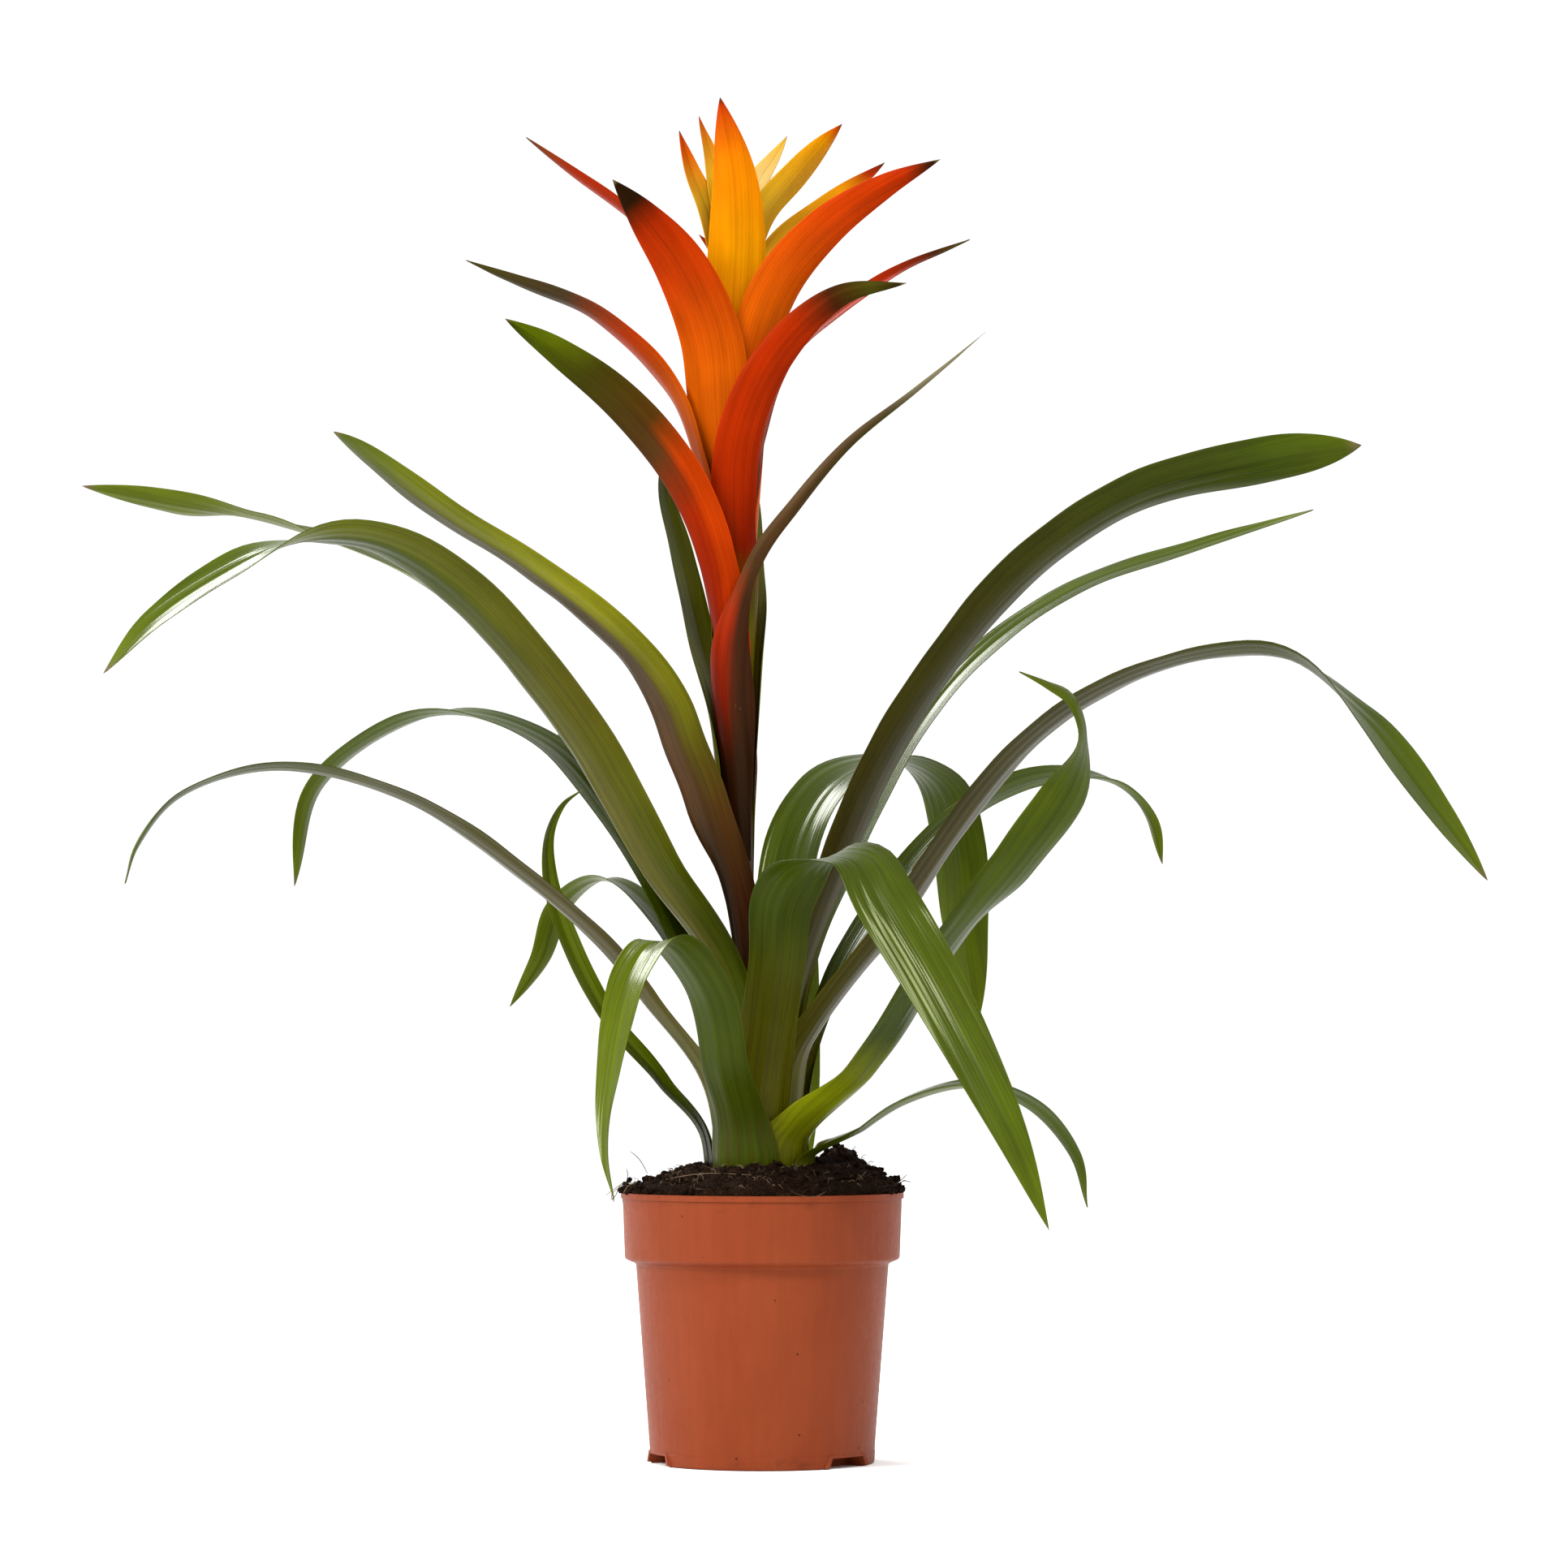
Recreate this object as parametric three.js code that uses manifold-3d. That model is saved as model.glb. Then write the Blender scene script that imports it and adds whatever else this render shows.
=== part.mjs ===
// Potted guzmania: a bromeliad with an upright flower head, in a plain plastic nursery pot.
// Millimetres, +Z up, origin at the middle of the pot's base, -Y towards the viewer.
import * as THREE from 'three';
import { mergeVertices } from 'three/addons/utils/BufferGeometryUtils.js';
import Module from 'manifold-3d';

const wasm = await Module();
wasm.setup();

// Driving dimensions
const gap = 0.3;
const weldDistance = 1e-4;
const pot = {
  height: 114,
  wall: 1.2,
  footRadius: 47.5,
  footEdge: 1.5,
  bodyTopRadius: 53.6,
  bodyTopHeight: 84,
  bandBottomRadius: 58.3,
  bandBottomHeight: 86,
  bandEdge: 1,
  bandTopRadius: 59.2,
  lipRadius: 60,
  lipHeight: 2.5,
  segments: 60,
};
const recess = {
  height: 4.5,
  widthAtFoot: 25,
  widthAtTop: 20,
  innerRadius: 37,
  angles: [-40, -160, 80],
  drainLength: 9,
  drainWidth: 4,
  drainInset: 5,
};
const soil = {
  rimHeight: 117,
  rimEdge: 1.5,
  crownHeight: 125,
  // Radius and height of the heap between its rim and the plant
  heap: [[50, 121], [41, 123.4], [33, 124.6]],
  plantHoleRadius: 25.2,
  plantHoleFloor: 118,
  plantHoleFlare: 1.5,
};
// Waves on top of the peat, a mound on the right and a dip on the left
const peat = {
  waveHeight: 1.1,
  fineShare: 0.7,
  mounds: [
    { x: 35, y: 10, height: 7.5, length: 12, depth: 12 },
    { x: -46, y: 0, height: -3, length: 15, depth: 45 },
  ],
};
const stem = {
  bottom: 106,
  top: 512,
  stockRadius: 7.6,
  sides: 12,
};
const rosette = {
  firstRing: 8.6,
  ringStep: 2.5,
  flare: 0.1,
  wrap: 45,
  sheathWidth: 1.3,
};
const blade = {
  thickness: 0.7,
  stations: 13,
  lanes: 4,
  crowding: 1.25,
  taper: 4,
  tipPower: 1,
  opensFrom: 0.75,
  opensOver: 0.18,
  waist: 0.16,
  waistPlace: 0.22,
  waistLength: 0.14,
};

// Heights and radii of the stock and the flower stalk, from the soil to the tip
const stemProfile = [
  [stem.bottom, stem.stockRadius],
  [140, 7.2],
  [175, 5.4],
  [205, 4.2],
  [300, 4.6],
  [360, 5],
  [440, 4.8],
  [490, 3.6],
  [stem.top - 3, 2.2],
  [stem.top, 0.8],
];
// The stalk leans slightly left as it rises: height, x, y
const stemAxis = [
  [stem.bottom, 0, 0],
  [150, -1, 0],
  [242, -8, -1],
  [380, -11.5, -2],
  [stem.top, -12, -4],
];
// How fast the sheaths on the stalk spread with height: height, slope
const sheathSpread = [
  [190, 0.07], [280, 0.08], [330, 0.085], [600, 0.09],
];

// Rosette leaves from the innermost ring to the outermost. Azimuth is seen from above, 0 at +X.
// The sheath opens at a height, and the path runs from there along the middle of the blade.
// Cup is half the turn of the blade's cross-section, and roll turns it about the path.
const rosetteLeaves = [
  {
    name: 'leaf_right_broad',
    ring: 0, azimuth: -30, opens: 184, width: 24, cup: 22, taper: 24, stations: 16,
    roll: [0, -12, -14, -24, -60],
    path: [[18, -12, 200], [36, -24, 262], [60, -40, 311], [105, -64, 369], [152, -84, 401],
      [204, -98, 414], [244, -108, 420]],
  },
  {
    name: 'leaf_left_broad',
    ring: 0, azimuth: -135, opens: 186, width: 26, cup: 24, taper: 12, stations: 16,
    roll: [0, 8, 15, 13, 16, 19, 17, -25, -31],
    path: [[-18, -22, 200], [-43, -54, 249], [-79, -92, 311], [-124, -136, 361],
      [-154, -159, 376], [-183, -176, 374], [-211, -190, 359], [-235, -200, 341],
      [-254, -206, 320]],
  },
  {
    name: 'leaf_left_high',
    ring: 1, azimuth: 168, opens: 175, wrap: 38, width: 22, cup: 20, taper: 14,
    roll: [0, 1, -1, 0, 0, -1, -1, -2, -6, -12, 6, 40, 50],
    path: [[-30, 12, 215], [-62, 28, 287], [-106, 42, 341], [-155, 50, 381.6], [-214, 48, 404],
      [-256, 43, 411.5], [-296, 38, 419]],
  },
  {
    name: 'leaf_right_back',
    ring: 1, azimuth: 20, opens: 176, width: 19, cup: 20, taper: 10, waist: 0.35,
    roll: [0, 6, 16, 18],
    path: [[24, 8, 214], [46, 20, 271], [83, 38, 333], [135, 54, 374], [192, 65, 395],
      [243, 70, 412]],
  },
  {
    name: 'leaf_right_long',
    ring: 2, azimuth: -42, opens: 164, width: 24, cup: 20, taper: 14, stations: 18,
    roll: [0, 4, 8, 12, 12, 12, 5, 43, 49],
    path: [[32, -20, 185], [57, -34, 229], [107, -58, 297], [144, -78, 323], [183, -94, 335],
      [215, -108, 333], [242, -120, 309], [269, -132, 272], [290, -138, 242]],
  },
  {
    name: 'leaf_back_arching',
    ring: 2, azimuth: 66, opens: 160, width: 29, cup: 20, taper: 12, stations: 16,
    roll: [0, 0, 0, -1, -2, -15, -32, -37, -39],
    path: [[8, 30, 215], [15, 52, 267], [33, 74, 294], [60, 94, 302], [79, 110, 291],
      [86.8, 124, 266], [90.5, 136, 229], [97, 144, 186]],
  },
  {
    name: 'leaf_left_back',
    ring: 2, azimuth: 162, opens: 162, width: 23, cup: 20, taper: 10,
    roll: [0, -8, -17, -19, -21, -15, 2, 1, 13],
    path: [[-38, 14, 226], [-62, 27, 269], [-93.5, 42, 306.3], [-136, 55, 321], [-168, 66, 312.5],
      [-197.4, 75, 288], [-207, 82, 246]],
  },
  {
    name: 'leaf_back_right',
    ring: 3, azimuth: 32, opens: 150, width: 20, cup: 22, taper: 9,
    roll: [0, 3, 4, 7, 10, 15, 21, 4, -41],
    path: [[33, 20, 206], [58, 37, 245], [86, 53, 275], [122, 70, 293], [155, 81, 292],
      [171, 87, 277], [177, 90, 256]],
  },
  {
    name: 'leaf_back_hidden_left',
    ring: 3, azimuth: 136, opens: 154, width: 22, cup: 22, taper: 10,
    roll: [0, 0],
    path: [[-27, 30, 208], [-49, 52, 262], [-70, 72, 305], [-83, 92, 318], [-92, 110, 314]],
  },
  {
    name: 'leaf_front_folded',
    ring: 3, azimuth: -98, opens: 148, width: 28, cup: 14, taper: 5.5, stations: 18,
    roll: [0, 0, 0, 5, 60, 85, 80, 80, 80],
    path: [[1, -26, 172], [6, -48, 210], [9, -74, 236], [22, -94, 251], [39, -108, 252],
      [50, -122, 234], [70, -140, 199], [99, -162, 140], [113, -172, 104]],
  },
  {
    name: 'leaf_left_long',
    ring: 4, azimuth: -160, opens: 138, width: 23, cup: 20, taper: 9, stations: 16,
    roll: [0, 3, 5, 4, 3, 1, 0, 0, 0],
    path: [[-33, -12, 169], [-60, -20, 210], [-102, -34, 248], [-150, -50, 279],
      [-202, -64, 290.5], [-240, -75, 278.4], [-256, -80, 258], [-261, -82, 242]],
  },
  {
    name: 'leaf_front_right',
    ring: 4, azimuth: -55, opens: 132, width: 28, cup: 20, taper: 6, waist: 0.4, stations: 18,
    roll: [0, -3, 4, 19, 21, 3, -9, 49, 58],
    path: [[22, -25, 141], [47, -48, 172], [77, -78, 217], [107, -102, 254], [126, -114, 283],
      [130.3, -122, 302.3], [125, -128, 315.7], [115, -132, 321], [103, -134, 326]],
  },
  {
    name: 'leaf_back_straight',
    ring: 4, azimuth: 94, opens: 142, width: 26, cup: 22, taper: 10,
    roll: [0, 0],
    path: [[0, 44, 196], [4, 84, 238], [10, 128, 232], [14, 166, 170], [15, 184, 100]],
  },
  {
    name: 'leaf_front_left',
    ring: 5, azimuth: -116, opens: 130, width: 27, cup: 20, taper: 2.6,
    roll: [0, 0, 0, 25],
    path: [[-15, -34, 158], [-22, -56, 197], [-40, -82, 219], [-52, -106, 205], [-60, -128, 169],
      [-62, -144, 134], [-58, -150, 115]],
  },
  {
    name: 'leaf_back_left',
    ring: 5, azimuth: 126, opens: 134, width: 17, cup: 22, taper: 8,
    roll: [0, 0, 15, 40],
    path: [[-18, 34, 182], [-45, 53, 230], [-70, 72, 249], [-90, 90, 237], [-99, 98, 214],
      [-113, 104, 193]],
  },
  {
    name: 'leaf_low_right',
    ring: 5, azimuth: -16, opens: 126, width: 20, cup: 22, taper: 5,
    roll: [0, 0],
    path: [[32, -12, 133], [60, -21, 152], [89, -31, 159], [113, -41, 150], [129, -48, 131],
      [135, -52, 109]],
  },
  {
    name: 'leaf_low_left',
    ring: 6, azimuth: 164, opens: 130, width: 12, cup: 20, taper: 5,
    roll: [0, -25, -35, -20],
    path: [[-44, 12, 162], [-68, 15, 191], [-89, 18, 237], [-92, 18, 264], [-86, 18, 279],
      [-77, 17, 286]],
  },
];

// Leaves and bracts on the flower stalk, from the lowest to the topmost.
// Each is inserted at its own height, wraps the stalk up to where it opens, and then runs out.
const stalkLeaves = [
  {
    name: 'stalk_leaf_left',
    inserted: 204, azimuth: -135, opens: 226, wrap: 110, width: 25, cup: 24, taper: 20,
    waist: 0.05, stations: 16, lanes: 8,
    roll: [0, 2, 9, 5, -7, -14, -17, -16, -15],
    path: [[-20, -10, 259], [-26, -12, 282], [-34, -14, 302], [-40, -15, 319], [-50.5, -17, 336],
      [-67, -19, 353], [-98, -22, 376.8], [-138, -26, 401.8], [-181, -28, 435]],
  },
  {
    name: 'stalk_leaf_back_left',
    inserted: 228, azimuth: 130, opens: 312, wrap: 80, width: 18, cup: 24, taper: 4, lanes: 6,
    roll: [0, 0],
    path: [[-26, 16, 346], [-35.5, 30, 388], [-43, 43, 420], [-40, 54, 447]],
  },
  {
    name: 'stalk_leaf_right',
    inserted: 254, azimuth: -115, opens: 330, wrap: 65, width: 9.5, cup: 24, taper: 1.8, lanes: 6,
    roll: [0, 5, 25, 35],
    path: [[-12, -17, 356], [-1.5, -23, 383.5], [13.5, -28, 403.5], [36, -34, 429],
      [65, -40, 451.5], [94, -46, 475]],
  },
  {
    name: 'stalk_leaf_back',
    inserted: 280, azimuth: 80, opens: 352, wrap: 90, width: 22, cup: 24, taper: 4, lanes: 8,
    roll: [0, 0],
    path: [[-9, 16, 372], [-9, 36, 406], [-11, 60, 430], [-13, 88, 442]],
  },
  {
    name: 'bract_left_low',
    inserted: 304, azimuth: -125, opens: 348, wrap: 70, width: 19, cup: 24, taper: 8,
    roll: [0, 10, 25, 30],
    path: [[-20, -15, 382], [-33, -21, 415], [-58, -29, 446], [-85, -36, 467], [-108, -42, 481]],
  },
  {
    name: 'bract_front_red',
    inserted: 322, azimuth: -80, opens: 364, wrap: 70, width: 21, cup: 24, taper: 4.2,
    roll: [0, 0, -10, -20],
    path: [[-12, -15, 400], [-9, -20, 437], [6, -28, 468], [32, -37, 491], [61, -42, 496]],
  },
  {
    name: 'bract_left_long',
    inserted: 338, azimuth: 168, opens: 382, wrap: 60, width: 14.5, cup: 22, taper: 5,
    waist: -0.35,
    roll: [0, 30, 50, 60],
    path: [[-26, -3, 418], [-39, -8, 455.5], [-70, -14, 486], [-103, -18, 500], [-126, -20, 509]],
  },
  {
    name: 'bract_right_back_red',
    inserted: 354, azimuth: 25, opens: 398, wrap: 60, width: 12, cup: 22, taper: 5,
    roll: [0, 0, 25, 30],
    path: [[-1, 4, 432], [12, 9, 472], [42, 17, 499.5], [63, 22, 513], [90, 26, 525]],
  },
  {
    name: 'bract_left_big',
    inserted: 370, azimuth: -118, opens: 410, wrap: 60, width: 28, cup: 24, taper: 6,
    roll: [0, 10, 30, 35],
    path: [[-19, -13, 442], [-22, -19, 476], [-34, -30, 504], [-50, -37, 525], [-63, -41, 540]],
  },
  {
    name: 'bract_right_big',
    inserted: 386, azimuth: -60, opens: 428, wrap: 60, width: 22.5, cup: 24, taper: 4.6,
    roll: [0, -10, -30, -35],
    path: [[-6, -12, 462], [6, -20, 498], [26.5, -31, 521], [51, -39, 537], [75, -44, 548]],
  },
  {
    name: 'bract_left_back',
    inserted: 402, azimuth: 150, opens: 442, wrap: 50, width: 11.5, cup: 22, taper: 6,
    roll: [0, 0, 40, 60],
    path: [[-20, 3, 474], [-32, 9, 510], [-56, 16, 533], [-80, 23, 552], [-103, 28, 570]],
  },
  {
    name: 'bract_back_small',
    inserted: 416, azimuth: 60, opens: 466, wrap: 40, width: 18, cup: 24, taper: 3,
    roll: [0, 0],
    path: [[-10, 11, 486], [-13, 19, 506], [-21, 27, 520], [-28, 31, 528]],
  },
  {
    name: 'bract_right_yellow',
    inserted: 430, azimuth: 40, opens: 466, wrap: 50, width: 19, cup: 24, taper: 5,
    roll: [0, 15, 35, 35],
    path: [[-4, 3, 492], [8, 11, 517], [28.5, 21, 538], [53, 29, 559]],
  },
  {
    name: 'bract_top_front',
    inserted: 444, azimuth: -95, opens: 470, wrap: 60, width: 27, cup: 24, taper: 4.3,
    roll: [0, 0],
    path: [[-12, -11, 496], [-11, -15, 520], [-12, -18, 545], [-18, -18, 579]],
  },
  {
    name: 'bract_top_left',
    inserted: 458, azimuth: 155, opens: 484, wrap: 50, width: 17, cup: 24, taper: 4,
    roll: [0, -20, -30],
    path: [[-18, 1, 508], [-24, 5, 534], [-31, 9, 553], [-36, 12, 570]],
  },
  {
    name: 'bract_top_right',
    inserted: 472, azimuth: -10, opens: 496, wrap: 50, width: 21, cup: 24, taper: 5,
    roll: [0, -20, -40],
    path: [[-3, -4, 518], [3, -4, 533], [15, -4, 548], [34, -4, 570]],
  },
  {
    name: 'bract_top_thin',
    inserted: 484, azimuth: 110, opens: 504, wrap: 50, width: 14, cup: 24, taper: 3.2,
    roll: [0, 0],
    path: [[-15, 5, 524], [-19, 9, 544], [-22.5, 13, 560], [-27.6, 16, 577]],
  },
  {
    name: 'bract_top_inner',
    inserted: 496, azimuth: 45, opens: 512, wrap: 50, width: 16, cup: 24, taper: 3.2,
    roll: [0, 30],
    path: [[-6, 2, 530], [-2, 5, 546], [4.5, 7, 557], [10.5, 9, 567]],
  },
];
// Value at a height or share in a table of [position, value, ...] rows, with the column asked for
function lookUp(rows, position, column = 1) {
  if (position <= rows[0][0]) {
    return rows[0][column];
  }
  for (let i = 1; i < rows.length; i += 1) {
    if (position <= rows[i][0]) {
      const share = (position - rows[i - 1][0]) / (rows[i][0] - rows[i - 1][0]);
      return THREE.MathUtils.lerp(rows[i - 1][column], rows[i][column], share);
    }
  }
  return rows[rows.length - 1][column];
}

// Total spread of a sheath between the height where it is inserted and a height above it
function sheathSpreadBetween(low, high) {
  const steps = 24;
  let total = 0;
  for (let i = 0; i < steps; i += 1) {
    total += lookUp(sheathSpread, low + ((i + 0.5) / steps) * (high - low));
  }
  return (total / steps) * (high - low);
}

function stemCentre(height) {
  return new THREE.Vector2(lookUp(stemAxis, height, 1), lookUp(stemAxis, height, 2));
}

// Closed geometry from shared vertices and triangles
function closedGeometry(positions, triangles) {
  const geometry = new THREE.BufferGeometry();
  geometry.setAttribute('position', new THREE.Float32BufferAttribute(positions, 3));
  geometry.setIndex(triangles);
  return geometry;
}

// Smooth step between neighbouring values that are evenly spread over the length
function smoothAlong(values, share) {
  const place = share * (values.length - 1);
  const first = Math.min(Math.floor(place), values.length - 2);
  const step = THREE.MathUtils.smoothstep(place - first, 0, 1);
  return THREE.MathUtils.lerp(values[first], values[first + 1], step);
}

// Middle line of a leaf: up its sheath on the nest's cone, then along the path of the blade
function middleLine(leaf, nest) {
  const angle = THREE.MathUtils.degToRad(leaf.azimuth);
  const points = [];
  for (const share of [0, 0.5, 1]) {
    const height = THREE.MathUtils.lerp(nest.bottom, leaf.opens, share);
    const centre = nest.centre(height);
    const radius = nest.radius(height);
    points.push(new THREE.Vector3(
      centre.x + radius * Math.cos(angle),
      centre.y + radius * Math.sin(angle),
      height,
    ));
  }
  for (const point of leaf.path) {
    points.push(new THREE.Vector3(...point));
  }
  const curve = new THREE.CatmullRomCurve3(points, false, 'centripetal');
  curve.arcLengthDivisions = 400;
  return curve;
}

// Tangents and side vectors along the line, turned as little as possible from one to the next
function framesAlong(curve, leaf, stations) {
  const angle = THREE.MathUtils.degToRad(leaf.azimuth);
  let side = new THREE.Vector3(-Math.sin(angle), Math.cos(angle), 0);
  const frames = [];
  let before = null;
  for (let i = 0; i <= stations; i += 1) {
    const share = 1 - (1 - i / stations) ** blade.crowding;
    const tangent = curve.getTangentAt(share).normalize();
    if (before) {
      side.applyQuaternion(new THREE.Quaternion().setFromUnitVectors(before, tangent));
    }
    side = side.clone().addScaledVector(tangent, -side.dot(tangent)).normalize();
    before = tangent;
    const roll = THREE.MathUtils.degToRad(smoothAlong(leaf.roll, share));
    frames.push({
      share,
      centre: curve.getPointAt(share),
      tangent,
      side: side.clone().applyAxisAngle(tangent, roll),
    });
  }
  return frames;
}

// Width of the blade as a share of its widest, from the foot of the blade to the pointed tip
function widthShare(share, taper, waist) {
  const narrowing = 1 - waist * Math.exp(-(((share - blade.waistPlace) / blade.waistLength) ** 2));
  return narrowing * (1 - share ** taper) ** blade.tipPower;
}

// One leaf or bract: a thin cupped blade on a sheath that wraps the stem
function leafGeometry(leaf, nest) {
  const stations = leaf.stations ?? blade.stations;
  const lanes = leaf.lanes ?? blade.lanes;
  const taper = leaf.taper ?? blade.taper;
  const waist = leaf.waist ?? blade.waist;
  const curve = middleLine(leaf, nest);
  const frames = framesAlong(curve, leaf, stations);
  const length = curve.getLength();
  const sheathShare = (leaf.opens - nest.bottom) / length;
  const cup = THREE.MathUtils.degToRad(leaf.cup);
  const wrap = THREE.MathUtils.degToRad(nest.wrap);

  const grid = frames.map((frame) => {
    const open = THREE.MathUtils.smoothstep(
      frame.share,
      sheathShare * blade.opensFrom,
      sheathShare + blade.opensOver,
    );
    const inward = new THREE.Vector3().crossVectors(frame.tangent, frame.side);
    const bladeWidth = leaf.width * widthShare(frame.share, taper, waist);
    const sheathRadius = nest.radius(frame.centre.z);
    const sheathWidth = Math.min(2 * wrap * sheathRadius, nest.widest);
    const width = THREE.MathUtils.lerp(sheathWidth, bladeWidth, open);
    const bend = THREE.MathUtils.lerp(1 / sheathRadius, (2 * cup) / Math.max(bladeWidth, 1), open);
    const row = [];
    for (let lane = 0; lane <= lanes; lane += 1) {
      const across = (lane / lanes - 0.5) * width;
      const turn = across * bend;
      const point = frame.centre.clone()
        .addScaledVector(frame.side, Math.sin(turn) / bend)
        .addScaledVector(inward, (1 - Math.cos(turn)) / bend);
      row.push(settle(point, nest, 1 - open));
    }
    return row;
  });
  return sheetGeometry(grid, blade.thickness);
}

// Draws a point of a sheath onto the nest's cone, as strongly as asked, and lets none inside it
function settle(point, nest, strength) {
  const centre = nest.centre(point.z);
  const cone = nest.radius(point.z);
  const out = new THREE.Vector2(point.x - centre.x, point.y - centre.y);
  const radius = THREE.MathUtils.lerp(out.length(), cone, strength);
  out.setLength(Math.max(radius, cone));
  return new THREE.Vector3(centre.x + out.x, centre.y + out.y, point.z);
}

// Gives a grid of points a thickness and closes it: a foot, two edges and one point at the tip
function sheetGeometry(grid, thickness) {
  const last = grid.length - 1;
  const lanes = grid[0].length - 1;
  const positions = [];
  for (let i = 0; i < last; i += 1) {
    for (const sign of [1, -1]) {
      for (let j = 0; j <= lanes; j += 1) {
        const along = new THREE.Vector3().subVectors(grid[i + 1][j], grid[Math.max(i - 1, 0)][j]);
        const across = new THREE.Vector3().subVectors(
          grid[i][Math.min(j + 1, lanes)],
          grid[i][Math.max(j - 1, 0)],
        );
        const normal = new THREE.Vector3().crossVectors(along, across).normalize();
        const point = grid[i][j].clone().addScaledVector(normal, (sign * thickness) / 2);
        positions.push(point.x, point.y, point.z);
      }
    }
  }
  const tip = grid[last][Math.round(lanes / 2)];
  positions.push(tip.x, tip.y, tip.z);

  const inner = (i, j) => i * 2 * (lanes + 1) + j;
  const outer = (i, j) => inner(i, j) + lanes + 1;
  const apex = last * 2 * (lanes + 1);
  const triangles = [];
  for (let i = 0; i < last - 1; i += 1) {
    for (let j = 0; j < lanes; j += 1) {
      triangles.push(inner(i, j), inner(i + 1, j), inner(i + 1, j + 1));
      triangles.push(inner(i, j), inner(i + 1, j + 1), inner(i, j + 1));
      triangles.push(outer(i, j), outer(i + 1, j + 1), outer(i + 1, j));
      triangles.push(outer(i, j), outer(i, j + 1), outer(i + 1, j + 1));
    }
    triangles.push(inner(i, 0), outer(i, 0), outer(i + 1, 0));
    triangles.push(inner(i, 0), outer(i + 1, 0), inner(i + 1, 0));
    triangles.push(inner(i, lanes), inner(i + 1, lanes), outer(i + 1, lanes));
    triangles.push(inner(i, lanes), outer(i + 1, lanes), outer(i, lanes));
  }
  for (let j = 0; j < lanes; j += 1) {
    triangles.push(inner(0, j), inner(0, j + 1), outer(0, j + 1));
    triangles.push(inner(0, j), outer(0, j + 1), outer(0, j));
    triangles.push(inner(last - 1, j), apex, inner(last - 1, j + 1));
    triangles.push(outer(last - 1, j), outer(last - 1, j + 1), apex);
  }
  triangles.push(inner(last - 1, 0), outer(last - 1, 0), apex);
  triangles.push(inner(last - 1, lanes), apex, outer(last - 1, lanes));
  return closedGeometry(positions, triangles);
}

// The cone that the sheaths of one ring of rosette leaves lie on
function rosetteNest(leaf) {
  const ringRadius = rosette.firstRing + leaf.ring * rosette.ringStep;
  const bottom = soil.plantHoleFloor + gap;
  return {
    bottom,
    centre: () => new THREE.Vector2(0, 0),
    radius: (height) => ringRadius + rosette.flare * (height - bottom),
    wrap: leaf.wrap ?? rosette.wrap,
    widest: leaf.width * rosette.sheathWidth,
  };
}

// The cone that one sheath on the flower stalk lies on
function stalkNest(leaf) {
  return {
    bottom: leaf.inserted,
    centre: stemCentre,
    radius: (height) => lookUp(stemProfile, height) + gap + blade.thickness / 2
      + sheathSpreadBetween(leaf.inserted, height),
    wrap: leaf.wrap,
    widest: Infinity,
  };
}

// The stock in the soil and the flower stalk, in one piece
function stemGeometry() {
  const positions = [];
  const heights = stemProfile.map(([height]) => height);
  for (const [height] of stemAxis.slice(1, -1)) {
    heights.push(height);
  }
  heights.sort((a, b) => a - b);
  for (const height of heights) {
    const centre = stemCentre(height);
    const radius = lookUp(stemProfile, height);
    for (let k = 0; k < stem.sides; k += 1) {
      const angle = (k / stem.sides) * 2 * Math.PI;
      positions.push(centre.x + radius * Math.cos(angle), centre.y + radius * Math.sin(angle), height);
    }
  }
  const rings = heights.length;
  const foot = stemCentre(stem.bottom);
  const top = stemCentre(stem.top);
  positions.push(foot.x, foot.y, stem.bottom, top.x, top.y, stem.top);
  const footIndex = rings * stem.sides;
  const triangles = [];
  for (let k = 0; k < stem.sides; k += 1) {
    const next = (k + 1) % stem.sides;
    for (let ring = 0; ring < rings - 1; ring += 1) {
      const low = ring * stem.sides;
      const high = low + stem.sides;
      triangles.push(low + k, low + next, high + next, low + k, high + next, high + k);
    }
    const last = (rings - 1) * stem.sides;
    triangles.push(footIndex, next, k, footIndex + 1, last + k, last + next);
  }
  return closedGeometry(positions, triangles);
}

// A turned body about the Z axis from a closed outline of [radius, height] points
function turned(outline, segments) {
  const points = [...outline, outline[0]].map(([radius, height]) => new THREE.Vector2(radius, height));
  const geometry = new THREE.LatheGeometry(points, segments);
  geometry.rotateX(Math.PI / 2);
  return geometry;
}

// A closed geometry as a solid that can be joined and cut
function toSolid(geometry) {
  const bare = geometry.clone();
  bare.deleteAttribute('normal');
  bare.deleteAttribute('uv');
  const merged = mergeVertices(bare, weldDistance);
  const position = merged.getAttribute('position');
  const index = merged.getIndex().array;
  const triangles = [];
  let volume = 0;
  const a = new THREE.Vector3();
  const b = new THREE.Vector3();
  const c = new THREE.Vector3();
  for (let i = 0; i < index.length; i += 3) {
    const [p, q, r] = [index[i], index[i + 1], index[i + 2]];
    if (p !== q && q !== r && r !== p) {
      triangles.push(p, q, r);
      a.fromBufferAttribute(position, p);
      b.fromBufferAttribute(position, q);
      c.fromBufferAttribute(position, r);
      volume += a.dot(b.cross(c));
    }
  }
  if (volume < 0) {
    triangles.reverse();
  }
  return new wasm.Manifold(new wasm.Mesh({
    numProp: 3,
    vertProperties: new Float32Array(position.array),
    triVerts: new Uint32Array(triangles),
  }));
}

function fromSolid(solid) {
  const mesh = solid.getMesh();
  return closedGeometry(Array.from(mesh.vertProperties), Array.from(mesh.triVerts));
}

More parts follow.
